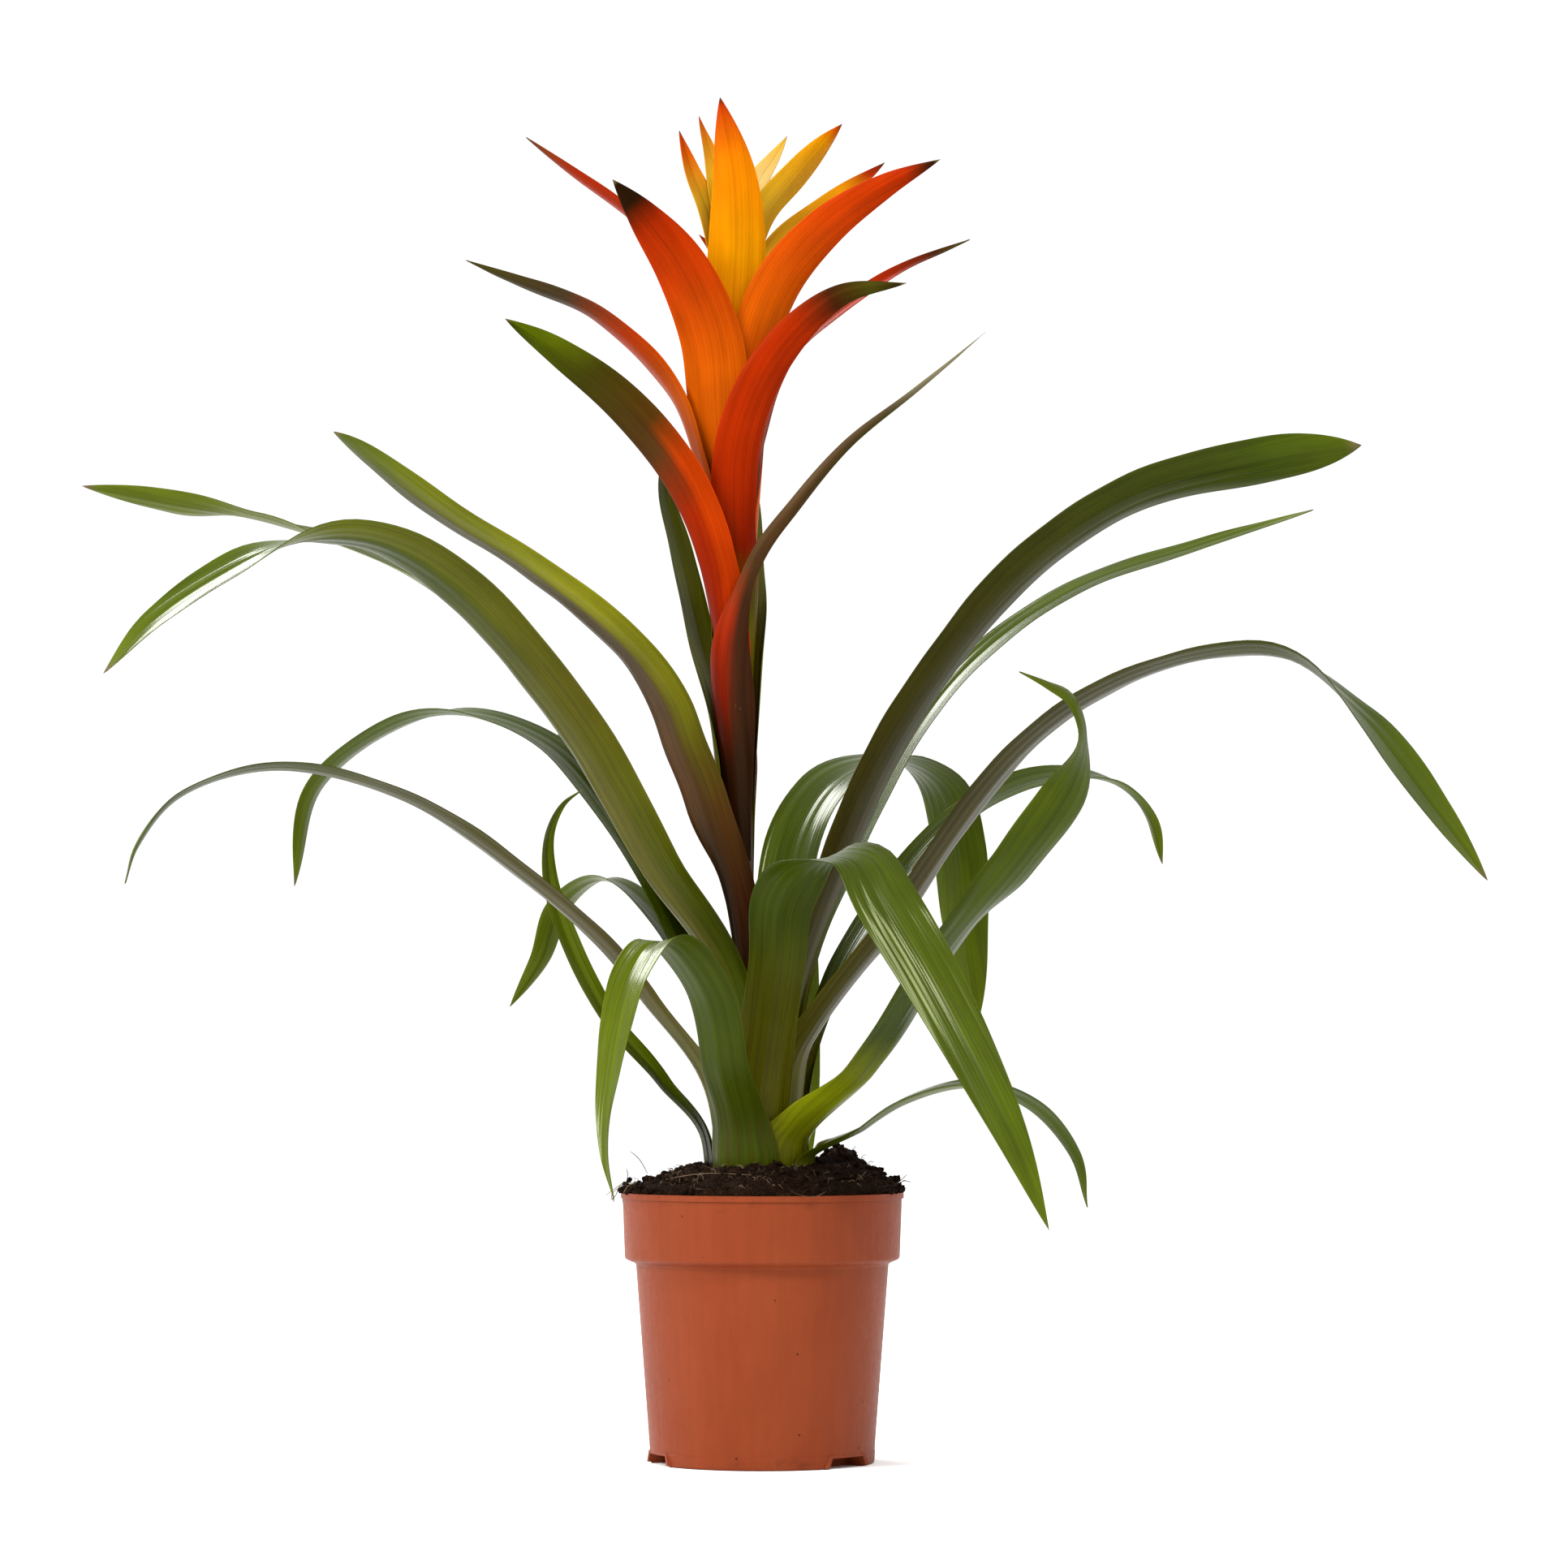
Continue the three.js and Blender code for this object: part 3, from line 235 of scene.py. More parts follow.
# Leaves and bracts on the flower stalk, from the lowest to the topmost.
# Each is inserted at its own height, wraps the stalk up to where it opens, and then runs out.
STALK_LEAVES = [
    dict(name="stalk_leaf_left", inserted=204, azimuth=-135, opens=226, wrap=110,
         width=25, taper=20, waist=0.05,
         roll=(0, 2, 9, 5, -7, -14, -17, -16, -15),
         path=((-20, -10, 259), (-26, -12, 282), (-34, -14, 302), (-40, -15, 319), (-50.5, -17, 336),
               (-67, -19, 353), (-98, -22, 376.8), (-138, -26, 401.8), (-181, -28, 435)),
         top="0 maroon, 30 olive, 100 fresh_green",
         under=("0 dark_brown, 14 dark_brown, 28 purple_brown, 50 purple_grey, 85 dark_olive, "
                "100 fresh_green"),
         # under_right is painted light and shade across the underside, by halves
         under_right="0 dark_brown, 10 maroon, 24 earth_brown, 36 olive, 60 yellow_green, 100 fresh_green"),
    dict(name="stalk_leaf_back_left", inserted=228, azimuth=130, opens=312, wrap=80, width=18,
         path=((-26, 16, 346), (-35.5, 30, 388), (-43, 43, 420), (-40, 54, 447)),
         top="0 maroon, 40 olive, 100 leaf_green",
         under="0 olive, 25 yellow_green, 45 olive, 60 fresh_green, 100 leaf_green"),
    dict(name="stalk_leaf_right", inserted=254, azimuth=-115, opens=330, wrap=65, width=9.5, taper=1.8,
         roll=(0, 5, 25, 35),
         path=((-12, -17, 356), (-1.5, -23, 383.5), (13.5, -28, 403.5), (36, -34, 429),
               (65, -40, 451.5), (94, -46, 475)),
         top="0 maroon, 30 deep_red, 45 purple_brown, 80 purple_grey, 100 pale_green",
         under=("0 dark_brown, 16 maroon, 26 deep_red, 38 red, 48 purple_brown, 80 purple_grey, "
                "90 clay_grey, 100 clay_grey"),
         # under_right is painted light and shade across the underside, by halves
         under_right=("0 dark_brown, 30 maroon, 42 maroon, 52 purple_brown, 80 purple_olive, "
                      "90 clay_grey, 100 clay_grey")),
    dict(name="stalk_leaf_back", inserted=280, azimuth=80, opens=352, wrap=90, width=22,
         path=((-9, 16, 372), (-9, 36, 406), (-11, 60, 430), (-13, 88, 442)),
         top="0 maroon, 40 olive, 100 leaf_green",
         # The pale middle of this underside is painted light, which makes up for the shadow the leaf lies
         # in
         under="0 maroon, 14 earth_brown, 28 yellow_green, 50 pale_green, 100 leaf_green"),
    dict(name="bract_left_low", inserted=304, azimuth=-125, opens=348, wrap=70, width=19, taper=8,
         roll=(0, 10, 25, 30),
         path=((-20, -15, 382), (-33, -21, 415), (-58, -29, 446), (-85, -36, 467), (-108, -42, 481)),
         top="0 red, 50 vermilion, 80 olive, 100 bright_green",
         under=("0 maroon, 20 deep_red, 46 red, 60 purple_brown, 80 dark_olive, 92 fresh_green, "
                "100 deep_green"),
         # under_right is painted light and shade across the underside, by halves
         under_right=("0 maroon, 20 red, 44 vermilion, 56 vermilion, 66 earth_brown, 80 dark_olive, "
                      "90 bright_green, 100 fresh_green")),
    dict(name="bract_front_red", inserted=322, azimuth=-80, opens=364, wrap=70, width=21, taper=4.2,
         roll=(0, 0, -10, -20),
         path=((-12, -15, 400), (-9, -20, 437), (6, -28, 468), (32, -37, 491), (61, -42, 496)),
         top="0 vermilion, 70 red, 90 maroon, 100 dark_olive",
         under="0 olive, 20 olive, 30 deep_red, 50 red, 76 red, 85 maroon, 93 dark_olive, 100 dark_brown"),
    dict(name="bract_left_long", inserted=338, azimuth=168, opens=382, wrap=60,
         width=14.5, cup=22, taper=5, waist=-0.35,
         roll=(0, 30, 50, 60),
         path=((-26, -3, 418), (-39, -8, 455.5), (-70, -14, 486), (-103, -18, 500), (-126, -20, 509)),
         top="0 vermilion, 66 vermilion, 78 purple_brown, 100 dark_olive",
         under="0 red, 25 orange, 50 orange, 66 vermilion, 80 purple_grey, 100 dark_olive"),
    dict(name="bract_right_back_red", inserted=354, azimuth=25, opens=398, wrap=60,
         width=12, cup=22, taper=5,
         roll=(0, 0, 25, 30),
         path=((-1, 4, 432), (12, 9, 472), (42, 17, 499.5), (63, 22, 513), (90, 26, 525)),
         top="0 orange, 40 vermilion, 80 red, 92 maroon, 100 dark_olive",
         under="0 orange, 40 orange, 75 vermilion, 88 purple_brown, 100 dark_olive"),
    dict(name="bract_left_big", inserted=370, azimuth=-118, opens=410, wrap=60, width=28, taper=6,
         roll=(0, 10, 30, 35),
         path=((-19, -13, 442), (-22, -19, 476), (-34, -30, 504), (-50, -37, 525), (-63, -41, 540)),
         top="0 amber, 50 orange, 85 vermilion, 93 purple_brown, 100 dark_brown",
         under=("0 olive, 20 olive, 30 orange, 50 orange, 72 vermilion, 86 red, 93 dark_brown, "
                "100 dark_brown")),
    dict(name="bract_right_big", inserted=386, azimuth=-60, opens=428, wrap=60, width=22.5, taper=4.6,
         roll=(0, -10, -30, -35),
         path=((-6, -12, 462), (6, -20, 498), (26.5, -31, 521), (51, -39, 537), (75, -44, 548)),
         top="0 amber, 60 orange, 90 vermilion, 100 maroon",
         under="0 deep_red, 20 vermilion, 50 orange, 75 vermilion, 92 red, 97 maroon, 100 dark_brown"),
    dict(name="bract_left_back", inserted=402, azimuth=150, opens=442, wrap=50, width=11.5, cup=22, taper=6,
         roll=(0, 0, 40, 60),
         path=((-20, 3, 474), (-32, 9, 510), (-56, 16, 533), (-80, 23, 552), (-103, 28, 570)),
         top="0 orange, 60 vermilion, 85 red, 100 purple_brown",
         under="0 orange, 60 red, 85 red, 100 purple_brown"),
    dict(name="bract_back_small", inserted=416, azimuth=60, opens=466, wrap=40, width=18, taper=3,
         path=((-10, 11, 486), (-13, 19, 506), (-21, 27, 520), (-28, 31, 528)),
         top="0 orange, 60 vermilion, 100 red",
         under="0 orange, 60 vermilion, 100 red"),
    dict(name="bract_right_yellow", inserted=430, azimuth=40, opens=466, wrap=50, width=19, taper=5,
         roll=(0, 15, 35, 35),
         path=((-4, 3, 492), (8, 11, 517), (28.5, 21, 538), (53, 29, 559)),
         top="0 golden, 50 yellow, 85 golden, 94 red, 100 maroon",
         under="0 amber, 50 golden, 85 orange, 100 deep_red"),
    dict(name="bract_top_front", inserted=444, azimuth=-95, opens=470, wrap=60, width=27, taper=4.3,
         path=((-12, -11, 496), (-11, -15, 520), (-12, -18, 545), (-18, -18, 579)),
         top="0 golden, 80 yellow, 100 orange",
         under="0 orange, 22 amber, 50 golden, 80 amber, 90 orange, 97 vermilion, 100 maroon"),
    dict(name="bract_top_left", inserted=458, azimuth=155, opens=484, wrap=50, width=17,
         roll=(0, -20, -30),
         path=((-18, 1, 508), (-24, 5, 534), (-31, 9, 553), (-36, 12, 570)),
         top="0 golden, 70 yellow, 90 orange, 100 red",
         under="0 golden, 60 yellow, 85 golden, 95 orange, 100 deep_red"),
    dict(name="bract_top_right", inserted=472, azimuth=-10, opens=496, wrap=50, width=21, taper=5,
         roll=(0, -20, -40),
         path=((-3, -4, 518), (3, -4, 533), (15, -4, 548), (34, -4, 570)),
         top="0 golden, 60 yellow, 90 golden, 100 vermilion",
         under="0 golden, 60 yellow, 90 golden, 96 orange, 100 deep_red"),
    dict(name="bract_top_thin", inserted=484, azimuth=110, opens=504, wrap=50, width=14, taper=3.2,
         path=((-15, 5, 524), (-19, 9, 544), (-22.5, 13, 560), (-27.6, 16, 577)),
         top="0 golden, 70 yellow, 100 vermilion",
         under="0 golden, 70 golden, 100 red"),
    dict(name="bract_top_inner", inserted=496, azimuth=45, opens=512, wrap=50, width=16, taper=3.2,
         roll=(0, 30),
         path=((-6, 2, 530), (-2, 5, 546), (4.5, 7, 557), (10.5, 9, 567)),
         top="0 yellow, 70 cream, 100 yellow",
         under="0 yellow, 70 yellow, 100 amber"),
]

# What the row of a leaf or bract leaves out
USUAL = dict(
    top=GREEN_TOP, under=GREEN_UNDER, roll=(0, 0), cup=24, taper=BLADE.taper, waist=BLADE.waist,
)
# Where the tones of the right side come in, between the left edge at -1 and the right one at 1
RIGHT_SIDE = (-0.15, 0.35)

# The studio's light makes a surface this many times as bright as its own colour
LIGHT_GAIN = 2.3

# Crumbs lie in a ring on the peat, clear of the plant, and are heaped over stretches of the rim.
# Each is a ball that is stretched, and dented by noise which a random shift makes its own.
CRUMBS = Fields(
    seed=41,
    count=900, ring=(22, 57), clear=2, sizes=(0.35, 0.5, 0.7, 1.0, 1.4), lift=0.2,
    rim_count=110, rim_ring=(56.5, 60.3), rim_sizes=(0.35, 0.5, 0.8, 1.1), rim_lift=0.6,
    pile=0.8, pile_spread=0.9, pile_foot=61, pile_width=3,
    stretch=(0.6, 1.5), dent=0.45, dents_across=1.7, shift=100,
)
# Stretches of the rim where peat lies over it: middle angle, half width, how much
SPILLS = ((180, 34, 1.0), (-8, 26, 0.8), (215, 16, 0.5), (100, 60, 0.5))
# Short threads scattered over the peat, and the thickness and sides of the long ones.
# Those beyond a radius lie on the rim. Their length is cut into spans.
THREADS = Fields(
    seed=17,
    count=520, ring=(25, 59), clear=2.5, thickness=(0.06, 0.14), sides=4, length=(1.5, 5),
    rise=(-0.1, 0.9), bow=0.3, sunk=0.3, on_rim=56.5, long_thickness=0.16, long_sides=5, spans=5,
)
# Long root threads, most of them over the left of the rim, where the photo shows them
LONG_THREADS = (
    ((-48, -20, 122), (-50, -22, 126), (-52, -24, 129), (-55.5, -25, 132)),
    ((-54, -16, 118), (-58, -18, 118.5), (-62, -20, 116), (-66, -22, 113)),
    ((-55, -14, 117.5), (-60, -16, 116.5), (-63.5, -17, 113), (-62, -18, 110)),
    ((-56, -10, 117), (-60, -13, 117), (-61.8, -15, 113), (-64, -16, 111)),
    ((-52, -22, 119), (-56.5, -24, 117), (-58.5, -25, 112), (-57, -26, 107)),
    ((-38, -36, 121), (-24, -42, 123), (-6, -46, 122.5), (10, -45, 121)),
    ((-58, -6, 117), (-57, -4, 121), (-57.5, -2, 124)),
    ((56, -8, 117), (60, -9, 119), (63, -10, 118.5)),
    ((55, -14, 117), (58.5, -16, 119.5), (61, -17, 122)),
    ((10, -56, 117), (16, -58.5, 114.6), (22, -58, 114), (27, -54, 116)),
)

CAMERA = Fields(place=(9.2, -2200, 180), aim=(9.2, 0, 287.4), lens=118.71, sensor=36, reach=100)
FLOOR_REACH = 30
LIGHTS = (
    # Name, place in metres, side in metres, watts
    ("key", (-1.9, -1.4, 1.6), 0.8, 70),
    ("front", (0.3, -1.5, 2.1), 0.5, 42),
    ("back", (-1.3, 1.6, 2.1), 1.1, 60),
)
LIGHT_AIM = (0, 0, 0.3)
WORLD_LIGHT = 1.07


def look_up(rows, position, column=1):
    """Value in a table of (position, value, ...) rows, straight between the rows."""
    return np.interp(position, [row[0] for row in rows], [row[column] for row in rows])


def smooth_step(value, low, high):
    share = np.clip((value - low) / (high - low), 0, 1)
    return share * share * (3 - 2 * share)


def blend(first, second, share):
    return first + (second - first) * share


def smooth_along(values, shares):
    """Smooth step between neighbouring values that are evenly spread over the length."""
    place = shares * (len(values) - 1)
    first = np.minimum(np.floor(place).astype(int), len(values) - 2)
    values = np.array(values, float)
    return blend(values[first], values[first + 1], smooth_step(place - first, 0, 1))


def linear(channel):
    """Linear value of an sRGB channel from 0 to 255."""
    value = channel / 255
    return value / 12.92 if value <= 0.04045 else ((value + 0.055) / 1.055) ** 2.4


def tone(name):
    """A surface's own colour for a tone as it looks under the studio's light."""
    return np.array([linear(channel) / LIGHT_GAIN for channel in TONES[name]])


def tones_along(row, shares):
    """Tones of a row at shares of the length, straight between those that it names."""
    stops = [stop.split() for stop in row.split(", ")]
    places = [int(percent) / 100 for percent, _ in stops]
    colours = np.array([tone(name) for _, name in stops])
    return np.stack([np.interp(shares, places, colours[:, k]) for k in range(3)], axis=-1)


# Meshes

def put(name, data):
    """A new object in the scene that holds a mesh, a light or a camera."""
    made = bpy.data.objects.new(name, data)
    bpy.context.scene.collection.objects.link(made)
    return made


def add_mesh(name, points, faces, material, attributes=None):
    """A smooth mesh object at the origin from points in millimetres, with per-point attributes."""
    mesh = bpy.data.meshes.new(name)
    mesh.from_pydata(np.asarray(points) * MM, [], faces)
    for key, values in (attributes or {}).items():
        values = np.asarray(values, np.float32)
        if values.ndim == 1:
            mesh.attributes.new(key, "FLOAT", "POINT").data.foreach_set("value", values)
        else:
            mesh.attributes.new(key, "FLOAT_VECTOR", "POINT").data.foreach_set("vector", values.ravel())
    mesh.validate()
    mesh.shade_smooth()
    mesh.materials.append(material)
    return put(name, mesh)


def place(piece, slot, node):
    """A piece rides on the one body and stands for its CAD node, which is hidden. The slot is not used."""
    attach(piece, "root")
    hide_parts(node)


def round_points(radii, heights, sides):
    """Points of one ring about the Z axis; the radii and heights are single or one for each side."""
    angles = np.arange(sides) / sides * TURN
    heights = np.broadcast_to(heights, sides)
    return np.stack([radii * np.cos(angles), radii * np.sin(angles), heights], axis=1)


def ring_body(rings, low, high):
    """Points and faces of a closed body of rings, from a point below them to one above them."""
    sides = len(rings[0])
    points = np.vstack([[low], *rings, [high]])
    last = 1 + (len(rings) - 1) * sides
    faces = []
    for k in range(sides):
        following = (k + 1) % sides
        faces.append((0, 1 + following, 1 + k))
        for start in range(1, last, sides):
            faces.append((start + k, start + following, start + sides + following, start + sides + k))
        faces.append((last + k, last + following, len(points) - 1))
    return points, faces


# Leaves and bracts

def catmull_rom(points):
    """Close points along a centripetal Catmull-Rom curve through the given ones."""
    ends = np.vstack([2 * points[0] - points[1], points, 2 * points[-1] - points[-2]])
    gaps = np.sqrt(np.linalg.norm(np.diff(ends, axis=0), axis=1))
    t = np.linspace(0, 1, FINE.curve_steps, endpoint=False)[:, None]
    spans = []
    for k in range(len(points) - 1):
        a, b, c, d = ends[k : k + 4]
        before, within, after = gaps[k : k + 3]
        start = ((b - a) / before - (c - a) / (before + within) + (c - b) / within) * within
        end = ((c - b) / within - (d - b) / (within + after) + (d - c) / after) * within
        square = 3 * c - 3 * b - 2 * start - end
        cube = 2 * b - 2 * c + start + end
        spans.append(b + start * t + square * t**2 + cube * t**3)
    return np.vstack([*spans, points[-1:]])


def middle_line(leaf, nest):
    """Middle line of a leaf: up its sheath on the nest's cone, then along the path of the blade."""
    angle = math.radians(leaf["azimuth"])
    points = []
    for height in np.linspace(nest.bottom, leaf["opens"], 3):
        centre = nest.centre(height)
        radius = nest.radius(height)
        points.append((centre[0] + radius * math.cos(angle), centre[1] + radius * math.sin(angle), height))
    return catmull_rom(np.array([*points, *leaf["path"]], float))


def frames_along(line, leaf, shares):
    """Centres, tangents and side vectors along the line, turned as little as possible between them."""
    lengths = np.concatenate([[0], np.cumsum(np.linalg.norm(np.diff(line, axis=0), axis=1))])
    slopes = np.gradient(line, lengths, axis=0)
    at = shares * lengths[-1]
    centres = np.stack([np.interp(at, lengths, line[:, k]) for k in range(3)], axis=1)
    tangents = np.stack([np.interp(at, lengths, slopes[:, k]) for k in range(3)], axis=1)
    tangents /= np.linalg.norm(tangents, axis=1, keepdims=True)
    angle = math.radians(leaf["azimuth"])
    side = Vector((-math.sin(angle), math.cos(angle), 0))
    rolls = np.radians(smooth_along(leaf["roll"], shares))
    sides = []
    before = None
    for tangent, roll in zip(map(Vector, tangents), rolls):
        if before:
            side.rotate(before.rotation_difference(tangent))
        side = (side - tangent * side.dot(tangent)).normalized()
        before = tangent
        sides.append(side * math.cos(roll) + tangent.cross(side) * math.sin(roll))
    return centres, tangents, np.array(sides), lengths[-1]


def width_share(shares, taper, waist):
    """Width of the blade as a share of its widest, from its foot to the pointed tip."""
    from_waist = (shares - BLADE.waist_place) / BLADE.waist_length
    return (1 - waist * np.exp(-(from_waist**2))) * (1 - shares**taper)


def settle(points, nest, strength):
    """Draws points of a sheath onto the nest's cone, as strongly as asked, and lets none inside it."""
    centre = nest.centre(points[..., 2])
    cone = nest.radius(points[..., 2])
    out = points[..., :2] - centre
    length = np.linalg.norm(out, axis=-1)
    radius = np.maximum(blend(length, cone, strength), cone)
    points[..., :2] = centre + out * (radius / length)[..., None]


def ripples(along, lanes, seed):
    """Waves of the two margins of a blade, each with its own phase and beat."""
    rng = random.Random(seed)
    wave = np.zeros((len(along), len(lanes)))
    for half in (-1, 1):
        phase = rng.uniform(0, TURN)
        beat = rng.uniform(*FINE.beats) * TURN / FINE.wave_length
        ripple = np.sin(along * beat + phase) + np.sin(along * beat * FINE.overtone + 2 * phase) / 2
        wave += np.clip(half * lanes, 0, 1) ** 2 * ripple
    return wave


def leaf_surface(leaf, nest, seed):
    """Middle surface of one leaf as a grid of points, with what its material needs along it."""
    shares = 1 - (1 - np.linspace(0, 1, FINE.stations + 1)) ** BLADE.crowding
    centres, tangents, sides, length = frames_along(middle_line(leaf, nest), leaf, shares)
    inwards = np.cross(tangents, sides)[:, None]
    sheath = (leaf["opens"] - nest.bottom) / length
    opened = smooth_step(shares, sheath * BLADE.opens_from, sheath + BLADE.opens_over)
    blade_width = leaf["width"] * width_share(shares, leaf["taper"], leaf["waist"])
    sheath_radius = nest.radius(centres[:, 2])
    sheath_width = np.minimum(2 * math.radians(nest.wrap) * sheath_radius, nest.widest)
    width = blend(sheath_width, blade_width, opened)[:, None]
    blade_bend = 2 * math.radians(leaf["cup"]) / np.maximum(blade_width, 1)
    bend = blend(1 / sheath_radius, blade_bend, opened)[:, None]

    lanes = np.sin(np.linspace(-0.5, 0.5, FINE.lanes + 1) * math.pi)
    across = lanes * width / 2
    turn = across * bend
    points = centres[:, None] + sides[:, None] * (np.sin(turn) / bend)[..., None]
    points = points + inwards * ((1 - np.cos(turn)) / bend)[..., None]

    # The keel and the waves grow as the sheath opens, and end before the tip
    along = shares[:, None] * length
    loose = (opened * smooth_step(1 - shares, 0, FINE.calm_tip))[:, None]
    keel = -FINE.keel * np.exp(-((across / FINE.keel_width) ** 2))
    offset = loose * (keel + FINE.wave * ripples(along, lanes, seed))
    points = points + inwards * offset[..., None]
    settle(points, nest, (1 - opened)[:, None])
    return Fields(points=points, shares=shares, lanes=lanes, across=across, along=along, opened=opened)


def leaf_tones(leaf, face, shares, lanes):
    """Tone of every point of one face of a leaf."""
    tones = tones_along(leaf[face], shares)[:, None, :]
    # The right half's tones are painted light and shade across the underside
    second = leaf.get(face + "_right")
    if second:
        turned = smooth_step(lanes, *RIGHT_SIDE)[None, :, None]
        tones = blend(tones, tones_along(second, shares)[:, None, :], turned)
    return np.broadcast_to(tones, (len(shares), len(lanes), 3))


def blade_faces(rows, row):
    """Faces of a closed blade: a top and an underside with rows of points, and one tip point."""
    count = rows * row
    faces = []
    for left in range(0, count - row, row):
        for a in range(left, left + row - 1):
            faces.append((a, a + row, a + row + 1, a + 1))
            faces.append((count + a, count + a + 1, count + a + row + 1, count + a + row))
        right = left + row - 1
        faces.append((left, count + left, count + left + row, left + row))
        faces.append((right, right + row, count + right + row, count + right))
    apex = 2 * count
    tip = count - row
    for j in range(row - 1):
        faces.append((j, j + 1, count + j + 1, count + j))
        faces.append((tip + j, apex, tip + j + 1))
        faces.append((count + tip + j, count + tip + j + 1, apex))
    faces.append((tip, count + tip, apex))
    faces.append((count - 1, apex, apex - 1))
    return faces


def closed_values(top, under, apex):
    """Values for all points of a closed blade: of its top, its underside and its tip point."""
    width = np.shape(top)[2:] or (1,)
    rows = [np.reshape(values[:-1], (-1, *width)) for values in (top, under)]
    stacked = np.vstack([*rows, np.reshape(apex, (1, *width))])
    return stacked if len(np.shape(top)) > 2 else stacked[:, 0]


def blade_attributes(leaf, surface, seed):
    """What a blade's material reads at each point: its tone, its place on the leaf and shares."""
    shares = surface.shares
    lanes = surface.lanes
    middle = len(lanes) // 2
    shape = (len(shares), len(lanes))
    layer = np.full(shape, seed * FINE.leaf_apart)
    at = np.stack([surface.across, np.broadcast_to(surface.along, shape), layer], axis=-1)
    under_at = at + np.array([0, 0, FINE.faces_apart])
    top, under = (leaf_tones(leaf, face, shares, lanes) for face in ("top", "under"))
    edge = np.broadcast_to(np.abs(lanes), shape)
    sheath = np.broadcast_to((1 - surface.opened)[:, None], shape)
    whole = np.broadcast_to(shares[:, None], shape)
    return dict(
        tone=closed_values(top, under, top[-1, middle]),
        leaf_place=closed_values(at, under_at, at[-1, middle]),
        upper=closed_values(np.ones(shape), np.zeros(shape), 0.5),
        edge=closed_values(edge, edge, 0),
        sheath=closed_values(sheath, sheath, 0),
        share=closed_values(whole, whole, 1),
    )


def leaf_piece(leaf, nest, seed, material):
    """One leaf or bract as a closed thin mesh with a top, an underside and thin edges."""
    surface = leaf_surface(leaf, nest, seed)
    points = surface.points
    lanes = surface.lanes
    normals = np.cross(np.gradient(points, axis=0), np.gradient(points, axis=1))
    normals /= np.maximum(np.linalg.norm(normals, axis=-1, keepdims=True), 1e-9)
    half = blend(FINE.edge_thickness, BLADE.thickness, np.sqrt(1 - lanes**2))[:, None] / 2
    apex = points[-1, len(lanes) // 2]
    verts = closed_values(points + normals * half, points - normals * half, apex)
    faces = blade_faces(len(points) - 1, len(lanes))
    return add_mesh(leaf["name"] + "_blade", verts, faces, material, blade_attributes(leaf, surface, seed))


def rosette_nest(leaf):
    """The cone that the sheaths of one ring of rosette leaves lie on."""
    ring_radius = ROSETTE.first_ring + leaf["ring"] * ROSETTE.ring_step
    bottom = SOIL.hole_floor + GAP
    return Fields(
        bottom=bottom,
        centre=lambda height: np.zeros(np.shape(height) + (2,)),
        radius=lambda height: ring_radius + ROSETTE.flare * (height - bottom),
        wrap=leaf.get("wrap", ROSETTE.wrap),
        widest=leaf["width"] * ROSETTE.sheath_width,
    )


def stem_centre(height):
    return np.stack([look_up(STEM_AXIS, height, 1), look_up(STEM_AXIS, height, 2)], axis=-1)


def stalk_nest(leaf):
    """The cone that one sheath on the flower stalk lies on."""
    heights = np.linspace(leaf["inserted"], leaf["path"][-1][2] + SPREAD_PAST_TIP, SPREAD_STEPS)
    slopes = look_up(SHEATH_SPREAD, heights)
    spread = np.concatenate([[0], np.cumsum((slopes[1:] + slopes[:-1]) / 2 * np.diff(heights))])
    clear = GAP + BLADE.thickness / 2
    return Fields(
        bottom=leaf["inserted"],
        centre=stem_centre,
        radius=lambda height: look_up(STEM_PROFILE, height) + clear + np.interp(height, heights, spread),
        wrap=leaf["wrap"],
        widest=math.inf,
    )


def stalk_slot(name):
    """Slot of a leaf or bract on the flower stalk, which is told by its name."""
    if not name.startswith("bract"):
        return "stalk_leaf"
    return "yellow_bract" if "top" in name or "yellow" in name else "red_bract"


def make_leaves(materials):
    """The rosette leaves, then the leaves and bracts on the stalk; each draws from its own seed."""
    rosette = [(leaf, rosette_nest(leaf), "rosette_leaf") for leaf in ROSETTE_LEAVES]
    stalk = [(leaf, stalk_nest(leaf), stalk_slot(leaf["name"])) for leaf in STALK_LEAVES]
    for seed, (leaf, nest, slot) in enumerate(rosette + stalk, start=1):
        place(leaf_piece({**USUAL, **leaf}, nest, seed, materials[slot]), slot, leaf["name"])


# Stem and pot

def make_stem(material):
    """The stock and flower stalk as one turned body on a bent axis."""
    heights = np.linspace(STEM.bottom, STEM.top, FINE.stem_rings)
    heights = np.unique([*heights, *(row[0] for row in STEM_PROFILE)])
    axis = np.column_stack([stem_centre(heights), heights])
    rings = [
        round_points(radius, 0, FINE.stem_sides) + centre
        for centre, radius in zip(axis, look_up(STEM_PROFILE, heights))
    ]
    points, faces = ring_body(rings, axis[0], axis[-1])
    place(add_mesh("flower_stalk", points, faces, material), "stem", "stem")


def rounded(outline, corners, steps=5):
    """Outline with some corners rounded, given as {index: radius}."""
    result = []
    for index, corner in enumerate(outline):
        radius = corners.get(index)
        if not radius:
            result.append(corner)
            continue
        before, here, after = (Vector(point) for point in outline[index - 1 : index + 2])
        start = here + (before - here).normalized() * radius
        end = here + (after - here).normalized() * radius
        for k in range(steps + 1):
            t = k / steps
            result.append(tuple(start * (1 - t) ** 2 + here * 2 * t * (1 - t) + end * t**2))
    return result


